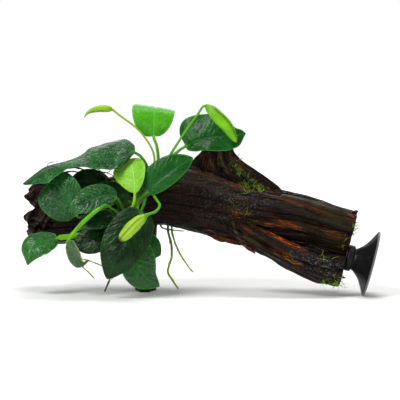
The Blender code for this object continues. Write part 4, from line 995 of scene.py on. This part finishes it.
def buildLeaf(name, leaf, seed):
    form = leafForm
    points = np.array([*leaf["stem"], *leaf["midrib"]])
    base, stemRows, count = len(leaf["stem"]), form["stemRows"], 2 * form["perSide"]

    # the solid's own rings give the frames
    stalks, ringCount = form["stalkShares"], form["ringShares"]
    ringShares = gatheredShares(0.35 / (ringCount - 0.3), (ringCount - 0.65) / (ringCount - 0.3), ringCount)
    coarse = stemAndBladeSpots(points, base, np.arange(stalks + 1) / stalks, ringShares)
    ways = tangentsOf(splineRows(points, coarse))
    normals = carryNormals(ways, stalks + 1, leaf["face"])
    for i, t in enumerate(ringShares, stalks + 1):
        turn = Matrix.Rotation(math.radians(leaf["turn"] * min(1.0, 2 * t)), 3, Vector(ways[i]))
        normals[i] = turn @ Vector(normals[i])

    stemShares = np.linspace(0, 1, stemRows, endpoint=False)
    t = gatheredShares(0.02, 0.975, form["bladeRows"])
    spots = stemAndBladeSpots(points, base, stemShares, t)
    line, normal, side = finerFrames(points, coarse, ways, normals, spots)
    forward = np.cross(normal, side)
    length = pathLength(line[stemRows:])

    # stem rings, also kept under the first blade rows to blend into them
    sleeve = 1 + 0.5 * np.exp(-(stemShares * 5) ** 2)
    stemRadius = form["petioleRadius"] * (1.15 - 0.3 * stemShares) * sleeve
    radius = np.concatenate([stemRadius, np.full(len(t), form["petioleRadius"] * 0.85)])[:, None]
    angle = math.pi * (1 - (2 * np.arange(count) + 1) / count)
    roundSide, roundUp = radius * np.cos(angle), radius * np.sin(angle)
    roundSide[:stemRows] *= 1 + leaf["wing"] * smoothStep(0.25, 0.95, stemShares)[:, None]

    # places across run from one margin to the other on the upper side, and back on the lower side
    over = np.concatenate([[-1.0], np.linspace(-0.985, 0.985, form["perSide"] - 2), [1.0]])
    s = np.concatenate([over, over[::-1]])
    upper = np.repeat([1.0, -1.0], form["perSide"])
    far = t[:, None]
    shape = bladeShare(far, leaf["peak"], leaf["rise"], leaf["blunt"])
    shape = np.maximum(shape * (1 - leaf["pinch"] * smoothStep(0.7, 1.0, far)), 0.03)
    widths = [half * outlineShare(far, rows) for half, rows in zip(leaf["halves"], leaf["outline"])]
    half = shape * np.where(s < 0, *widths)
    across = s * half
    reach = half * np.abs(s)
    lobe = -leaf["lobe"] * half * np.abs(s) ** 1.6 * (1 - far) ** 4
    lift = half * (leaf["fold"] * np.abs(s) - leaf["droop"] * s**2)
    lift = lift + leaf["wave"] * np.sin(fullTurn * leaf["waves"] * far + 1.3 * s) * s**2 * np.sqrt(1 - far)
    frill = np.sin(fullTurn * 7.3 * far + seed + 2 * np.sign(s)) * np.abs(s) ** 5 * (1 - far)
    lift = lift + leaf["frill"] * frill

    # the skin sinks along the side veins and the midrib, and is quilted between them
    phase = leaf["veins"] * (far - 0.27 * np.abs(s) ** 1.35) + 0.5 * (s > 0)
    flow = phase * length / leaf["veins"]
    gap = np.abs(phase - np.round(phase)) * length / leaf["veins"]
    openPart = np.clip(reach / 2.0, 0, 1) * (1 - s**6)
    flat = np.stack([far * length + 0 * s, across], -1)
    pleats = np.stack([flow, 0.35 * across], -1)
    quilt = 0.35 - np.exp(-gap**2)
    quilt = quilt + 0.6 * (softNoise(flat, 4.5, seed) + softNoise(pleats, 2.4, seed + 9))
    rib = np.exp(-(reach / form["ribWidth"]) ** 2)
    skin = leaf["quilt"] * quilt * openPart - 0.3 * rib * (1 - far) ** 0.3
    thick = 0.5 * form["blade"] * (1 - (1 - form["margin"] / form["blade"]) * s**8)
    thick = thick + (upper < 0) * (0.15 + 0.6 * (1 - far)) * rib
    up = lift + skin + upper * thick

    blend = smoothStep(0.0, 0.03, far)
    outSide, outUp = roundSide.copy(), roundUp.copy()
    outSide[stemRows:] += (across - roundSide[stemRows:]) * blend
    outUp[stemRows:] += (up - roundUp[stemRows:]) * blend
    rings = ringsAlong(line, side, outSide, normal, outUp)
    rings[stemRows:] += (lobe * blend)[..., None] * forward[stemRows:, None]

    none = np.zeros((stemRows, count))
    attributes = {
        "across": (none + 9.0, across),
        "veins": (none + 0.5, np.where(reach < 0.4, 0.5, phase)),
        "flow": (np.stack([stemShares[:, None] * 8 + none, none, none + seed], -1),
                 np.stack([flow, across, 0 * across + seed], -1)),
        "rim": (none, np.clip(1 - (half - reach) / 1.1, 0, 1) * (far < 0.985)),
        "stem": (none + 1.0, (1 - smoothStep(0.0, 0.08, far)) * np.exp(-(reach / 1.3) ** 2)),
        "under": (none, (upper < 0) * (far > 0.01) * 1.0 * (np.abs(s) < 0.999)),
    }
    attributes = {key: np.concatenate(parts) for key, parts in attributes.items()}
    return closedSkin(name + "_blade", rings, line[0], line[-1] + forward[-1] * 0.25, attributes,
                      leafSkins[leaf["look"]])


for seed, (title, leaf) in enumerate(leaves.items(), 1):
    leaf = {**plainLeaf, **leaf}
    settle(buildLeaf(title, leaf, seed), leaf["slot"], title)
print("leaves done")

# Spathes and the rolled leaf

# A spathe is a bract rolled round the flower spike: one margin laps over the other and dries brown at the
# tip. Rise and fall are how fast the pod swells and narrows, ripple how uneven it is, lap the step at the
# seam and hollow a dent beside it. The seam is the way that its lapped margin faces. Tip, body, pale and
# green are colours, and the shows say how much of the brown seam and of the tip's colour is seen.
plainSpathe = {"hollow": 0.0, "slot": "spathe"}
spathes = {
    "spathe_top_left": {
        "stalk": (
            (-29.4, -16.6, 58.2), (-27.6, -19.6, 66.0), (-26.2, -18.8, 74.8), (-29.0, -18.6, 82.4),
            (-35.6, -19.8, 90.7), (-45.1, -22.0, 97.7)),
        "pod": (
            (-49.4, -22.8, 100.8), (-54.7, -23.6, 101.4), (-59.4, -24.8, 100.4), (-62.4, -25.8, 98.7),
            (-63.9, -26.2, 96.4)),
        "radius": 1.95, "rise": 0.35, "fall": 0.95, "ripple": 0.02, "stalkRadius": 0.7, "lap": 0.3,
        "seam": (0.0, -0.7, -0.6), "seamShow": 0.35, "tipShow": 0.8, "tip": "#2c5a14", "body": "#649412",
        "pale": "#8cb630", "green": "#7c9c1c"},
    "spathe_top_right": {
        "stalk": (
            (-26.4, -15.6, 61.4), (-22.2, -20.4, 69.0), (-15.6, -23.6, 80.2), (-8.4, -25.4, 91.6),
            (-3.0, -26.6, 99.2)),
        "pod": ((0.8, -27.2, 103.6), (7.3, -29.4, 98.2), (13.4, -30.0, 91.8), (17.9, -29.0, 84.6)),
        "radius": 3.3, "rise": 0.45, "fall": 0.55, "ripple": 0.03, "stalkRadius": 0.85, "lap": 0.8,
        "seam": (0.6, -0.75, 0.32), "seamShow": 0.7, "tipShow": 0.3, "tip": "#8a9a20", "body": "#569c08",
        "pale": "#72b414", "green": "#529412"},
    "spathe_centre": {
        "stalk": (
            (-30.4, -16.6, 57.2), (-27.4, -24.5, 56.4), (-24.2, -33.5, 53.2), (-22.2, -39.6, 50.4),
            (-24.2, -45.4, 47.6)),
        "pod": ((-28.6, -49.5, 45.9), (-33.8, -52.0, 41.9), (-38.3, -53.0, 37.0), (-42.1, -52.5, 32.6)),
        "radius": 3.4, "rise": 0.5, "fall": 0.42, "ripple": 0.06, "stalkRadius": 0.95, "lap": 0.7,
        "seam": (-0.1, -1.0, 0.25), "seamShow": 0.85, "tipShow": 0.95, "tip": "#4a2a10", "body": "#709c1a",
        "pale": "#98bc34", "green": "#4a9410"},
    "leaf_rolled": {
        "stalk": ((-45.4, -15.6, 43.7), (-45.0, -24.4, 45.6), (-45.4, -31.5, 46.4), (-47.2, -39.6, 48.2)),
        "pod": ((-50.5, -44.0, 50.2), (-55.6, -46.0, 47.1), (-64.0, -45.0, 39.3), (-71.4, -42.0, 30.0)),
        "radius": 1.2, "rise": 0.45, "fall": 0.62, "ripple": 0.03, "stalkRadius": 0.8, "lap": 0.45,
        "seam": (-0.6, -0.6, 0.5), "seamShow": 0.0, "tipShow": 0.0, "tip": "#478a16", "body": "#4c9412",
        "pale": "#6cb01e", "green": "#3c7a16", "hollow": 0.9, "slot": "leaf_young",
        "skin": "rolled anubias leaf"},
}
bractForm = {
    "stalkRows": 46, "podRows": 76, "columns": 112, "seamWidth": 0.32, "ribHeight": 0.035, "dry": "#4a2c10",
    "stalkShares": 6, "podShares": (0.04, 0.14, 0.3, 0.48, 0.66, 0.82, 0.94, 0.99),  # the solid's rings
}


def podShare(t, rise, fall):
    peak = rise / (rise + fall)
    return (t / peak) ** rise * ((1 - t) / (1 - peak)) ** fall


# Fresh bract tissue: thin, satin, with fine lengthwise ribs, and a dried brown margin.
def makeBractSkin(name, spathe):
    material, tree, shader, coords = startMaterial(name)
    seam, tip, pod, ribs = (
        addNode(tree, "ShaderNodeAttribute", {"attribute_name": key})["Fac"]
        for key in ("seam", "tip", "pod", "ribs"))
    clouds = addNode(tree, "ShaderNodeTexNoise", None, {
        "Vector": coords, "Scale": 120.0, "Detail": 1.0})["Fac"]
    colour = paintLayers(tree, linear(spathe["body"]), (
        (spathe["pale"], clouds, 0.35, 0.65, 1.0), (spathe["green"], ribs, -0.2, -1.0, 0.35),
        (spathe["green"], pod, 1.0, 0.0, 1.0), (bractForm["dry"], seam, 0.1, 0.8, spathe["seamShow"]),
        (spathe["tip"], tip, 0.2, 1.0, spathe["tipShow"])))
    bump = addNode(tree, "ShaderNodeBump", None, {"Strength": 0.35, "Distance": 0.0002, "Height": ribs})[0]
    feed(tree, shader, {
        "Base Color": colour, "Normal": bump, "Roughness": 0.4, "Specular IOR Level": 0.15,
        "Coat Weight": 0.08, "Coat Roughness": 0.3})
    return material


def buildSpathe(name, spathe):
    points = np.array([*spathe["stalk"], *spathe["pod"]])
    base, stalkRows, podRows = len(spathe["stalk"]), bractForm["stalkRows"], bractForm["podRows"]
    stalkShares = np.arange(bractForm["stalkShares"] + 1) / bractForm["stalkShares"]
    coarse = stemAndBladeSpots(points, base, stalkShares, bractForm["podShares"])
    ways = tangentsOf(splineRows(points, coarse))
    normals = carryNormals(ways, 0, (0.0, -1.0, 0.2))
    stalk = np.linspace(0, 1, stalkRows, endpoint=False)
    t = gatheredShares(0.02, 0.985, podRows)
    spots = stemAndBladeSpots(points, base, stalk, t)
    line, normal, side = finerFrames(points, coarse, ways, normals, spots)
    stalkRadius = spathe["stalkRadius"]
    podRadius = spathe["radius"] * podShare(t, spathe["rise"], spathe["fall"])
    podRadius = np.maximum(podRadius, stalkRadius * 0.9 * (1 - t) + 0.22)
    radius = np.concatenate([stalkRadius * (1.1 - 0.35 * smoothStep(0.0, 0.5, stalk)), podRadius])[:, None]
    inPod = np.concatenate([np.zeros(stalkRows), smoothStep(0.03, 0.2, t)])[:, None]
    progress = np.concatenate([np.zeros(stalkRows), t])[:, None]
    turn = np.linspace(0, fullTurn, bractForm["columns"])  # its two ends make the step of the lap
    lap = spathe["lap"] * inPod * (turn / fullTurn - 0.5) * np.sqrt(np.clip(1 - progress, 0, 1))
    dent = spathe["hollow"] * inPod * np.exp(-((turn - 0.75) / 0.45) ** 2) * np.sin(math.pi * progress)
    ribs = smoothStep(1.9, 3.2, spathe["radius"]) * np.cos(13 * turn) * inPod
    ripple = spathe["ripple"] * np.sin(3 * turn + 11 * progress) * np.sin(7 * progress + 1)
    reach = radius * (1 + ripple * inPod) + lap - dent + bractForm["ribHeight"] * ribs
    waist = stalkRows + podRows // 2
    start = math.atan2(np.dot(spathe["seam"], normal[waist]), np.dot(spathe["seam"], side[waist]))
    rings = ringsAlong(line, side, reach * np.cos(start - turn), normal, reach * np.sin(start - turn))
    fromSeam = np.minimum(turn, fullTurn - turn) * radius
    attributes = {
        "seam": np.exp(-(fromSeam / bractForm["seamWidth"]) ** 2) * inPod * smoothStep(0.05, 0.3, progress),
        "tip": smoothStep(0.84, 1.0, progress) + 0 * turn, "pod": inPod + 0 * turn, "ribs": ribs,
    }
    skin = makeBractSkin(spathe.get("skin", name.replace("_", " ") + " bract"), spathe)
    ahead = unit(line[-1] - line[-3])
    return closedSkin(name + "_bract", rings, line[0], line[-1] + ahead * 0.4, attributes, skin)


for title, spathe in spathes.items():
    spathe = {**plainSpathe, **spathe}
    settle(buildSpathe(title, spathe), spathe["slot"], title)
print("spathes done")

# Rhizome

rhizome = {
    "points": (
        (-51.0, -13.6, 39.5), (-45.0, -15.6, 44.0), (-38.0, -16.7, 49.5), (-31.0, -16.6, 56.5),
        (-24.0, -14.4, 64.0)),
    "radius": 3.2, "scars": 13, "scarDepth": 0.28, "green": "#3d5a1c", "brown": "#4a3a22", "rows": 150,
    "sides": 64,
}


# Creeping stem: waxy olive green bark between corky brown leaf scars.
def makeStemBark():
    material, tree, shader, coords = startMaterial("corky rhizome bark")
    scar = addNode(tree, "ShaderNodeAttribute", {"attribute_name": "scar"})["Fac"]
    corky = addNode(tree, "ShaderNodeMath", {"operation": "ADD"}, {0: scar, 1: 0.4})[0]
    clouds = addNode(tree, "ShaderNodeTexNoise", None, {
        "Vector": coords, "Scale": 350.0, "Detail": 4.0})["Fac"]
    colour = paintLayers(tree, linear(rhizome["green"]), ((rhizome["brown"], clouds, 0.0, 1.0, 1.0, corky),))
    bump = addNode(tree, "ShaderNodeBump", None, {"Strength": 0.5, "Distance": 0.0003, "Height": clouds})[0]
    feed(tree, shader, {"Base Color": colour, "Normal": bump, "Roughness": 0.55})
    return material


def buildRhizome():
    points = rhizome["points"]
    shares = np.linspace(0, 1, rhizome["rows"])
    line = splineRows(points, evenSpots(points, 0, len(points) - 1, shares))
    ways = tangentsOf(line)
    normals = carryNormals(ways, 0, (0.0, -1.0, 0.0))
    turns = fullTurn * np.arange(rhizome["sides"]) / rhizome["sides"]
    phase = shares[:, None] * rhizome["scars"] + 0.25 * np.sin(turns + 0.6)
    scar = np.exp(-((phase - np.round(phase)) / 0.16) ** 2)
    crown = np.sqrt(np.clip(1 - (2 * shares - 1) ** 6, 0.12, 1))[:, None]
    radius = rhizome["radius"] * crown * 0.96 + rhizome["scarDepth"] * (0.4 - scar) * crown
    sides = np.cross(ways, normals)
    rings = ringsAlong(line, sides, radius * np.cos(turns), normals, radius * np.sin(turns))
    startPoint, endPoint = line[0] - ways[0], line[-1] + ways[-1]
    return closedSkin("rhizome_bark", rings, startPoint, endPoint, {"scar": scar}, makeStemBark())


settle(buildRhizome(), "rhizome", "rhizome")
print("rhizome done")

# Roots

rootLook = {
    "dead": "#241a10", "fleckScale": 900.0, "bumpDepth": 0.0002,  # flecks 1 mm
    "living": ((0.0, "#1c2a0c"), (0.35, "#5c7f1c"), (0.7, "#a4c42a"), (1.0, "#a4c42a")),  # from base to tip
    "old": ((0.0, "#241a10"), (0.5, "#3a2c18"), (0.8, "#33281a"), (1.0, "#4a3b20")),
}


# A root is a path grown into a knobbly tube that thins towards its tip.
def makeRootTree():
    tree, given = startTree("pathTube", {
        "Radius": "NodeSocketFloat", "Tip share": "NodeSocketFloat", "Knobs": "NodeSocketFloat",
        "Sides": "NodeSocketInt"})
    curve = addNode(tree, "GeometryNodeMeshToCurve", None, {0: given["Geometry"]})[0]
    share = addNode(tree, "GeometryNodeSplineParameter")["Factor"]
    thin = addNode(tree, "ShaderNodeMapRange", None, {
        0: share, 1: 0.0, 2: 1.0, 3: 1.0, 4: given["Tip share"]})[0]
    place = addNode(tree, "GeometryNodeInputPosition")[0]
    lumps = addNode(tree, "ShaderNodeTexNoise", None, {
        "Vector": place, "Scale": 420.0, "Detail": 2.0})["Fac"]
    most = addNode(tree, "ShaderNodeMath", {"operation": "ADD"}, {0: given["Knobs"], 1: 1.0})[0]
    swell = addNode(tree, "ShaderNodeMapRange", {"clamp": False}, {
        0: lumps, 1: 0.5, 2: 0.75, 3: 1.0, 4: most})[0]
    scale = addNode(tree, "ShaderNodeMath", {"operation": "MULTIPLY"}, {0: thin, 1: given["Radius"]})[0]
    scale = addNode(tree, "ShaderNodeMath", {"operation": "MULTIPLY"}, {0: scale, 1: swell})[0]
    marked = addNode(tree, "GeometryNodeStoreNamedAttribute", {"data_type": "FLOAT", "domain": "POINT"}, {
        0: curve, 2: "along", 3: share})[0]
    circle = addNode(tree, "GeometryNodeCurvePrimitiveCircle", None, {
        "Resolution": given["Sides"], "Radius": 1.0})[0]
    tube = addNode(tree, "GeometryNodeCurveToMesh", None, {0: marked, 1: circle, 2: scale, 3: True})[0]
    return finishTree(tree, tube, given)


# Anubias root skin: waxy, dark where it is old and yellow-green at the growing end.
def makeRootSkin(name, stops):
    material, tree, shader, coords = startMaterial(name)
    along = addNode(tree, "ShaderNodeAttribute", {"attribute_name": "along"})["Fac"]
    flecks = addNode(tree, "ShaderNodeTexNoise", None, {
        "Vector": coords, "Scale": rootLook["fleckScale"], "Detail": 2.0})["Fac"]
    aged = addNode(tree, "ShaderNodeValToRGB", {"stops": stops}, {0: along})[0]
    colour = paintLayers(tree, aged, ((rootLook["dead"], flecks, 0.4, 0.7, 0.45),))
    bump = addNode(tree, "ShaderNodeBump", None, {
        "Strength": 0.4, "Distance": rootLook["bumpDepth"], "Height": flecks})[0]
    feed(tree, shader, {"Base Color": colour, "Normal": bump, "Roughness": 0.5})
    return material


pathTube = makeRootTree()
livingRoot = makeRootSkin("living anubias root", rootLook["living"])
deadRoot = makeRootSkin("old brown root", rootLook["old"])

# Each root replaces the node of its name: its path and its radius at the start in mm, and whether it is old.
roots = {
    "root_long": {
        "path": (
            (-18.7, -2.0, 42.0), (-18.4, -2.0, 33.6), (-16.6, -2.0, 26.6), (-16.3, -2.0, 19.6),
            (-18.2, -2.0, 11.6), (-15.6, -2.0, 6.6), (-12.2, -2.0, 1.6)),
        "radius": 0.65},
    "root_slanting": {
        "path": (
            (-17.0, -2.5, 42.0), (-15.8, -2.5, 31.6), (-12.2, -2.5, 22.6), (-6.4, -2.5, 13.8),
            (-3.9, -2.5, 11.4)),
        "radius": 0.55},
    "root_level": {
        "path": ((-22.5, 1.0, 41.0), (-22.2, 0.5, 35.9), (-16.0, 0.0, 34.6), (-9.6, 0.0, 34.1)),
        "radius": 0.45},
    "root_low_left": {
        "path": (
            (-70.0, -4.0, 32.0), (-71.0, -14.0, 25.0), (-68.6, -20.0, 19.6), (-64.5, -22.0, 15.6),
            (-61.0, -23.0, 12.6), (-57.6, -24.0, 9.4)),
        "radius": 0.5},
    "root_under_leaf": {
        "path": (
            (-68.0, -4.0, 32.0), (-69.2, -12.6, 25.6), (-66.8, -18.2, 20.2), (-61.6, -20.0, 18.6),
            (-56.6, -20.5, 17.0), (-53.4, -21.0, 15.6), (-52.8, -21.5, 13.6)),
        "radius": 0.45},
    "root_behind_front_leaf": {
        "path": (
            (-45.0, -4.0, 38.0), (-47.0, -12.0, 26.0), (-48.5, -18.0, 12.4), (-50.6, -18.5, 5.8),
            (-52.2, -18.5, 1.6)),
        "radius": 0.6, "old": True},
    "old_stem": {
        "path": (
            (-30.0, -9.0, 62.0), (-35.0, -13.0, 68.0), (-45.6, -15.0, 69.8), (-54.6, -15.5, 70.6),
            (-61.0, -15.5, 72.0)),
        "radius": 0.8, "old": True},
}

# Thin rootlets that only the picture shows: path and radius in mm, tip share and skin.
rootlets = {
    "rootlet_short": (
        ((-18.2, -2.2, 34.5), (-18.0, -2.4, 30.0), (-17.4, -2.6, 26.6)), 0.22, 0.5, livingRoot),
    "rootlet_pale": (
        ((-50.4, -18.7, 5.2), (-49.0, -18.9, 8.0), (-47.6, -19.2, 9.2), (-46.6, -19.0, 11.2)), 0.2, 0.5,
        livingRoot),
    "rootlet_top_left": (
        ((-82.0, -16.0, 66.6), (-84.4, -18.0, 69.6), (-82.6, -20.0, 71.6), (-78.4, -21.0, 72.2)), 0.28, 0.5,
        deadRoot),
    "rootlet_strand": (
        ((-60.0, -15.0, 66.0), (-54.0, -17.0, 66.8), (-49.0, -17.6, 65.2), (-46.0, -17.0, 63.0)), 0.4, 0.6,
        deadRoot),
    "rootlet_arch": (
        ((-77.7, -17.0, 67.6), (-72.3, -17.0, 69.0), (-66.8, -17.0, 68.6), (-61.3, -17.0, 66.8),
         (-55.8, -17.0, 65.8), (-51.4, -17.0, 63.1)),
        0.6, 0.6, deadRoot),
    "rootlet_cross": (
        ((-60.2, -18.0, 70.1), (-56.3, -18.0, 68.0), (-53.6, -18.0, 65.3), (-51.3, -18.0, 61.5)), 0.4, 0.6,
        deadRoot),
    "rootlet_hook": (
        ((-51.9, -19.0, 70.8), (-50.3, -19.0, 67.6), (-53.5, -19.0, 66.2)), 0.3, 0.5, livingRoot),
    "rootlet_low": (
        ((-76.6, -16.5, 65.9), (-71.2, -16.5, 66.9), (-64.6, -16.5, 65.9), (-58.0, -16.5, 64.1)), 0.45, 0.5,
        deadRoot),
}
rootForm = {"step": 0.6, "bend": 5.0, "thicker": 1.2, "tipShare": 0.65, "knobs": 0.2, "oldKnobs": 0.55}


def growTube(name, path, radius, tipShare, knobs, skin, wobble=0.25, sides=12):
    path = np.array(path)
    count = int(pathLength(path) / rootForm["step"]) + 4
    shares = np.linspace(0, 1, count)
    line = splineRows(path, evenSpots(path, 0, len(path) - 1, shares))
    bend = np.stack([softNoise(line, rootForm["bend"], seed) for seed in (11, 12, 13)], -1)
    line = line + wobble * bend * shares[:, None] * np.linspace(1, 0.2, count)[:, None]
    piece = addPiece(name, toMetres(line), [(i, i + 1) for i in range(count - 1)])
    growWithNodes(piece, pathTube, {
        "Radius": radius * mm, "Tip share": tipShare, "Knobs": knobs, "Sides": sides, "Material": skin})
    piece.data.shade_smooth()
    return piece


for title, root in roots.items():
    knobs, skin = (rootForm["oldKnobs"], deadRoot) if root.get("old") else (rootForm["knobs"], livingRoot)
    radius = root["radius"] * rootForm["thicker"]
    settle(growTube(title + "_skin", root["path"], radius, rootForm["tipShare"], knobs, skin), "root", title)
for title, (path, radius, tipShare, skin) in rootlets.items():
    settle(growTube(title, path, radius, tipShare, 0.4, skin, 0.15, 8), "root")
print("roots done")

# Moss

# Tufts on the wood: x and z of the middle, reach in mm, number of strands, length of a strand in mm.
mossTufts = (
    (17.4, 71.0, 2.6, 10, 2.6), (20.4, 67.4, 2.8, 15, 2.6), (24.2, 64.0, 2.8, 16, 3.0),
    (28.8, 61.6, 2.4, 12, 3.4), (33.0, 59.4, 1.6, 12, 4.4), (19.4, 75.5, 1.6, 8, 3.0),
    (24.0, 59.4, 2.4, 14, 3.0), (26.6, 57.0, 2.0, 8, 3.2), (2.0, 62.0, 7.0, 20, 1.2),
    (-4.0, 55.0, 7.0, 18, 1.2), (10.0, 58.0, 7.0, 20, 1.2), (9.0, 73.5, 2.0, 8, 2.2),
    (17.8, 48.3, 5.0, 34, 1.5), (13.5, 43.8, 4.0, 20, 1.4), (26.6, 45.7, 4.0, 20, 1.5),
    (20.0, 52.0, 5.0, 24, 1.4), (79.2, 30.7, 2.0, 7, 3.2), (66.8, 24.6, 2.6, 8, 3.6),
    (70.5, 20.0, 2.0, 5, 3.6), (85.0, 39.5, 1.8, 18, 4.2), (85.6, 34.8, 1.6, 10, 4.2),
    (76.0, 8.6, 2.2, 26, 4.0), (69.0, 8.4, 1.8, 8, 3.6), (-43.0, 63.5, 4.5, 40, 4.0),
    (-49.5, 61.5, 3.5, 20, 3.6), (-84.0, 50.0, 4.0, 12, 2.6), (50.0, 22.5, 2.2, 5, 3.2),
)
mossForm = {"strand": 4.4, "radius": 0.16, "seed": 5, "depth": 7.0}


def makeMossTree():
    tree, given = startTree("mossStrands", {
        "Strand length": "NodeSocketFloat", "Strand radius": "NodeSocketFloat", "Seed": "NodeSocketInt"})
    facing = addNode(tree, "GeometryNodeInputNamedAttribute", {
        "data_type": "FLOAT_VECTOR"}, {0: "facing"})[0]
    size = addNode(tree, "GeometryNodeInputNamedAttribute", {"data_type": "FLOAT"}, {0: "size"})[0]
    bend, tip = (
        addNode(tree, "ShaderNodeVectorMath", {"operation": "SCALE"}, {
            0: corner, "Scale": given["Strand length"]})[0]
        for corner in ((0.1, 0.0, 0.6), (0.65, 0.1, 0.95)))
    strand = addNode(tree, "GeometryNodeCurveQuadraticBezier", None, {
        "Resolution": 5, "Start": (0.0, 0.0, 0.0), "Middle": bend, "End": tip})[0]
    share = addNode(tree, "GeometryNodeSplineParameter")["Factor"]
    thin = addNode(tree, "ShaderNodeMapRange", None, {0: share, 1: 0.0, 2: 1.0, 3: 1.0, 4: 0.35})[0]
    scale = addNode(tree, "ShaderNodeMath", {"operation": "MULTIPLY"}, {
        0: thin, 1: given["Strand radius"]})[0]
    circle = addNode(tree, "GeometryNodeCurvePrimitiveCircle", None, {"Resolution": 4, "Radius": 1.0})[0]
    tube = addNode(tree, "GeometryNodeCurveToMesh", None, {0: strand, 1: circle, 2: scale, 3: True})[0]
    upright = addNode(tree, "FunctionNodeAlignRotationToVector", {"axis": "Z"}, {"Vector": facing})[0]
    lean = addNode(tree, "FunctionNodeRandomValue", {"data_type": "FLOAT_VECTOR"}, {
        0: (-0.9, -0.9, -3.14), 1: (0.9, 0.9, 3.14), "Seed": given["Seed"]})[0]
    turned = addNode(tree, "FunctionNodeRotateRotation", {"rotation_space": "LOCAL"}, {
        0: upright, 1: lean})[0]
    placed = addNode(tree, "GeometryNodeInstanceOnPoints", None, {
        "Points": given["Geometry"], "Instance": tube, "Rotation": turned, "Scale": size})[0]
    return finishTree(tree, placed, given)


def buildMoss():
    places, facings = [], []
    for part in ("trunk", "limb", "stump"):
        mesh = woodPieces[part].data
        for rows, source, field in ((places, mesh.vertices, "co"), (facings, mesh.vertex_normals, "vector")):
            flat = np.empty(len(source) * 3)
            source.foreach_get(field, flat)
            rows.append(flat.reshape(-1, 3))
    places, facings = np.vstack(places), np.vstack(facings)
    spots = places / mm + tableMiddle
    rng = np.random.default_rng(mossForm["seed"])
    chosen, sizes = [], []
    for x, z, reach, count, length in mossTufts:
        away = np.hypot(spots[:, 0] - x, spots[:, 2] - z)
        near = np.nonzero((away < reach * 1.6) & (facings[:, 1] < 0.25))[0]
        near = near[spots[near, 1] < np.min(spots[near, 1]) + mossForm["depth"]]
        weight = np.exp(-(away[near] / reach) ** 2)
        chosen.append(rng.choice(near, size=count, p=weight / weight.sum()))
        sizes.append(length / mossForm["strand"] * rng.uniform(0.5, 1.25, count))
    chosen, sizes = np.concatenate(chosen), np.concatenate(sizes)
    piece = addPiece("moss_strands", places[chosen], attributes={"facing": facings[chosen], "size": sizes})
    return growWithNodes(piece, makeMossTree(), {
        "Strand length": mossForm["strand"] * mm, "Strand radius": mossForm["radius"] * mm,
        "Seed": mossForm["seed"], "Material": moss})


settle(buildMoss(), "moss")
print("moss done")

# Studio

white = (1.0, 1.0, 1.0, 1.0)
studio = {
    "lens": 112.5, "sensor": 36.0, "farthest": 20.0, "distance": 700.0, "elevation": 3.0, "roll": 1.06,
    "aim": (-1.0, 0.0, 51.7), "world": 0.16, "background": 1.0, "floor": "#f4f4f2", "reach": 4.0, "sides": 96,
    "glow": (0.12, 1.3, 0.97),  # begins and is full so many metres away, and how strong it is there
}


# Adds a camera or a lamp at the place and in the turn of a matrix.
def addDevice(name, data, matrix):
    device = bpy.data.objects.new(name, data)
    device.matrix_world = matrix
    bpy.context.scene.collection.objects.link(device)
    return device


def buildCamera():
    rise, roll = math.radians(studio["elevation"]), math.radians(studio["roll"])
    forward = np.array((0.0, math.cos(rise), -math.sin(rise)))
    upright = np.array((0.0, math.sin(rise), math.cos(rise)))
    right = np.array((1.0, 0.0, 0.0))
    lensRight = math.cos(roll) * right + math.sin(roll) * upright
    lensUp = -math.sin(roll) * right + math.cos(roll) * upright
    eye = toMetres(np.array(studio["aim"]) - studio["distance"] * forward)
    data = bpy.data.cameras.new("camera")
    data.lens, data.sensor_width, data.clip_end = studio["lens"], studio["sensor"], studio["farthest"]
    turn = Matrix((lensRight, lensUp, -forward)).transposed().to_4x4()
    bpy.context.scene.camera = addDevice("camera", data, Matrix.Translation(eye) @ turn)


# Paper floor: a white matt disc whose glow grows away from the middle, so it is as bright far away as under
# the object and no edge shows behind it.
def buildFloor():
    material, tree, shader, coords = startMaterial("matt white paper")
    away = addNode(tree, "ShaderNodeVectorMath", {"operation": "LENGTH"}, {0: coords})["Value"]
    begins, full, most = studio["glow"]
    glow = addNode(tree, "ShaderNodeMapRange", {"interpolation_type": "SMOOTHSTEP"}, {
        0: away, 1: begins, 2: full, 3: 0.0, 4: most})[0]
    feed(tree, shader, {
        "Emission Strength": glow, "Emission Color": white, "Base Color": linear(studio["floor"]),
        "Roughness": 0.9, "Specular IOR Level": 0.1})
    turns = np.linspace(0, fullTurn, studio["sides"], endpoint=False)
    points = studio["reach"] * np.stack([np.cos(turns), np.sin(turns), 0 * turns], -1)
    addPiece("paper_floor", points, (), [tuple(range(len(points)))], None, material)


# Each light: place and size in metres, watts. All point at the middle of the object.
lights = {
    "key": ((-0.5, -0.7, 0.85), 0.45, 8.5),
    "top": ((0.1, 0.1, 1.0), 0.6, 7.0),
    "fill": ((0.75, -0.75, 0.4), 0.5, 1.6),
    "back": ((0.0, 0.9, 0.7), 0.9, 4.0),
    "side": ((-0.62, -0.8, 0.46), 0.3, 2.6),
}
lightAim = Vector((0.0, 0.0, 0.05))


def buildLights():
    for title, (place, size, watts) in lights.items():
        data = bpy.data.lights.new(title, "AREA")
        data.shape, data.size, data.energy = "DISK", size, watts
        turn = (lightAim - Vector(place)).to_track_quat("-Z", "Y").to_matrix().to_4x4()
        addDevice(title, data, Matrix.Translation(place) @ turn)


# The empty background shows white, and lights the object only a little.
def buildWorld():
    world = bpy.data.worlds.new("studio")
    world.use_nodes = True
    tree = world.node_tree
    seen = addNode(tree, "ShaderNodeLightPath")["Is Camera Ray"]
    strength = addNode(tree, "ShaderNodeMapRange", None, {
        0: seen, 3: studio["world"], 4: studio["background"]})[0]
    feed(tree, tree.nodes["Background"], {"Color": white, "Strength": strength})
    bpy.context.scene.world = world


buildCamera()
buildFloor()
buildLights()
buildWorld()
bpy.context.scene.view_settings.view_transform = "Standard"
print("studio done")
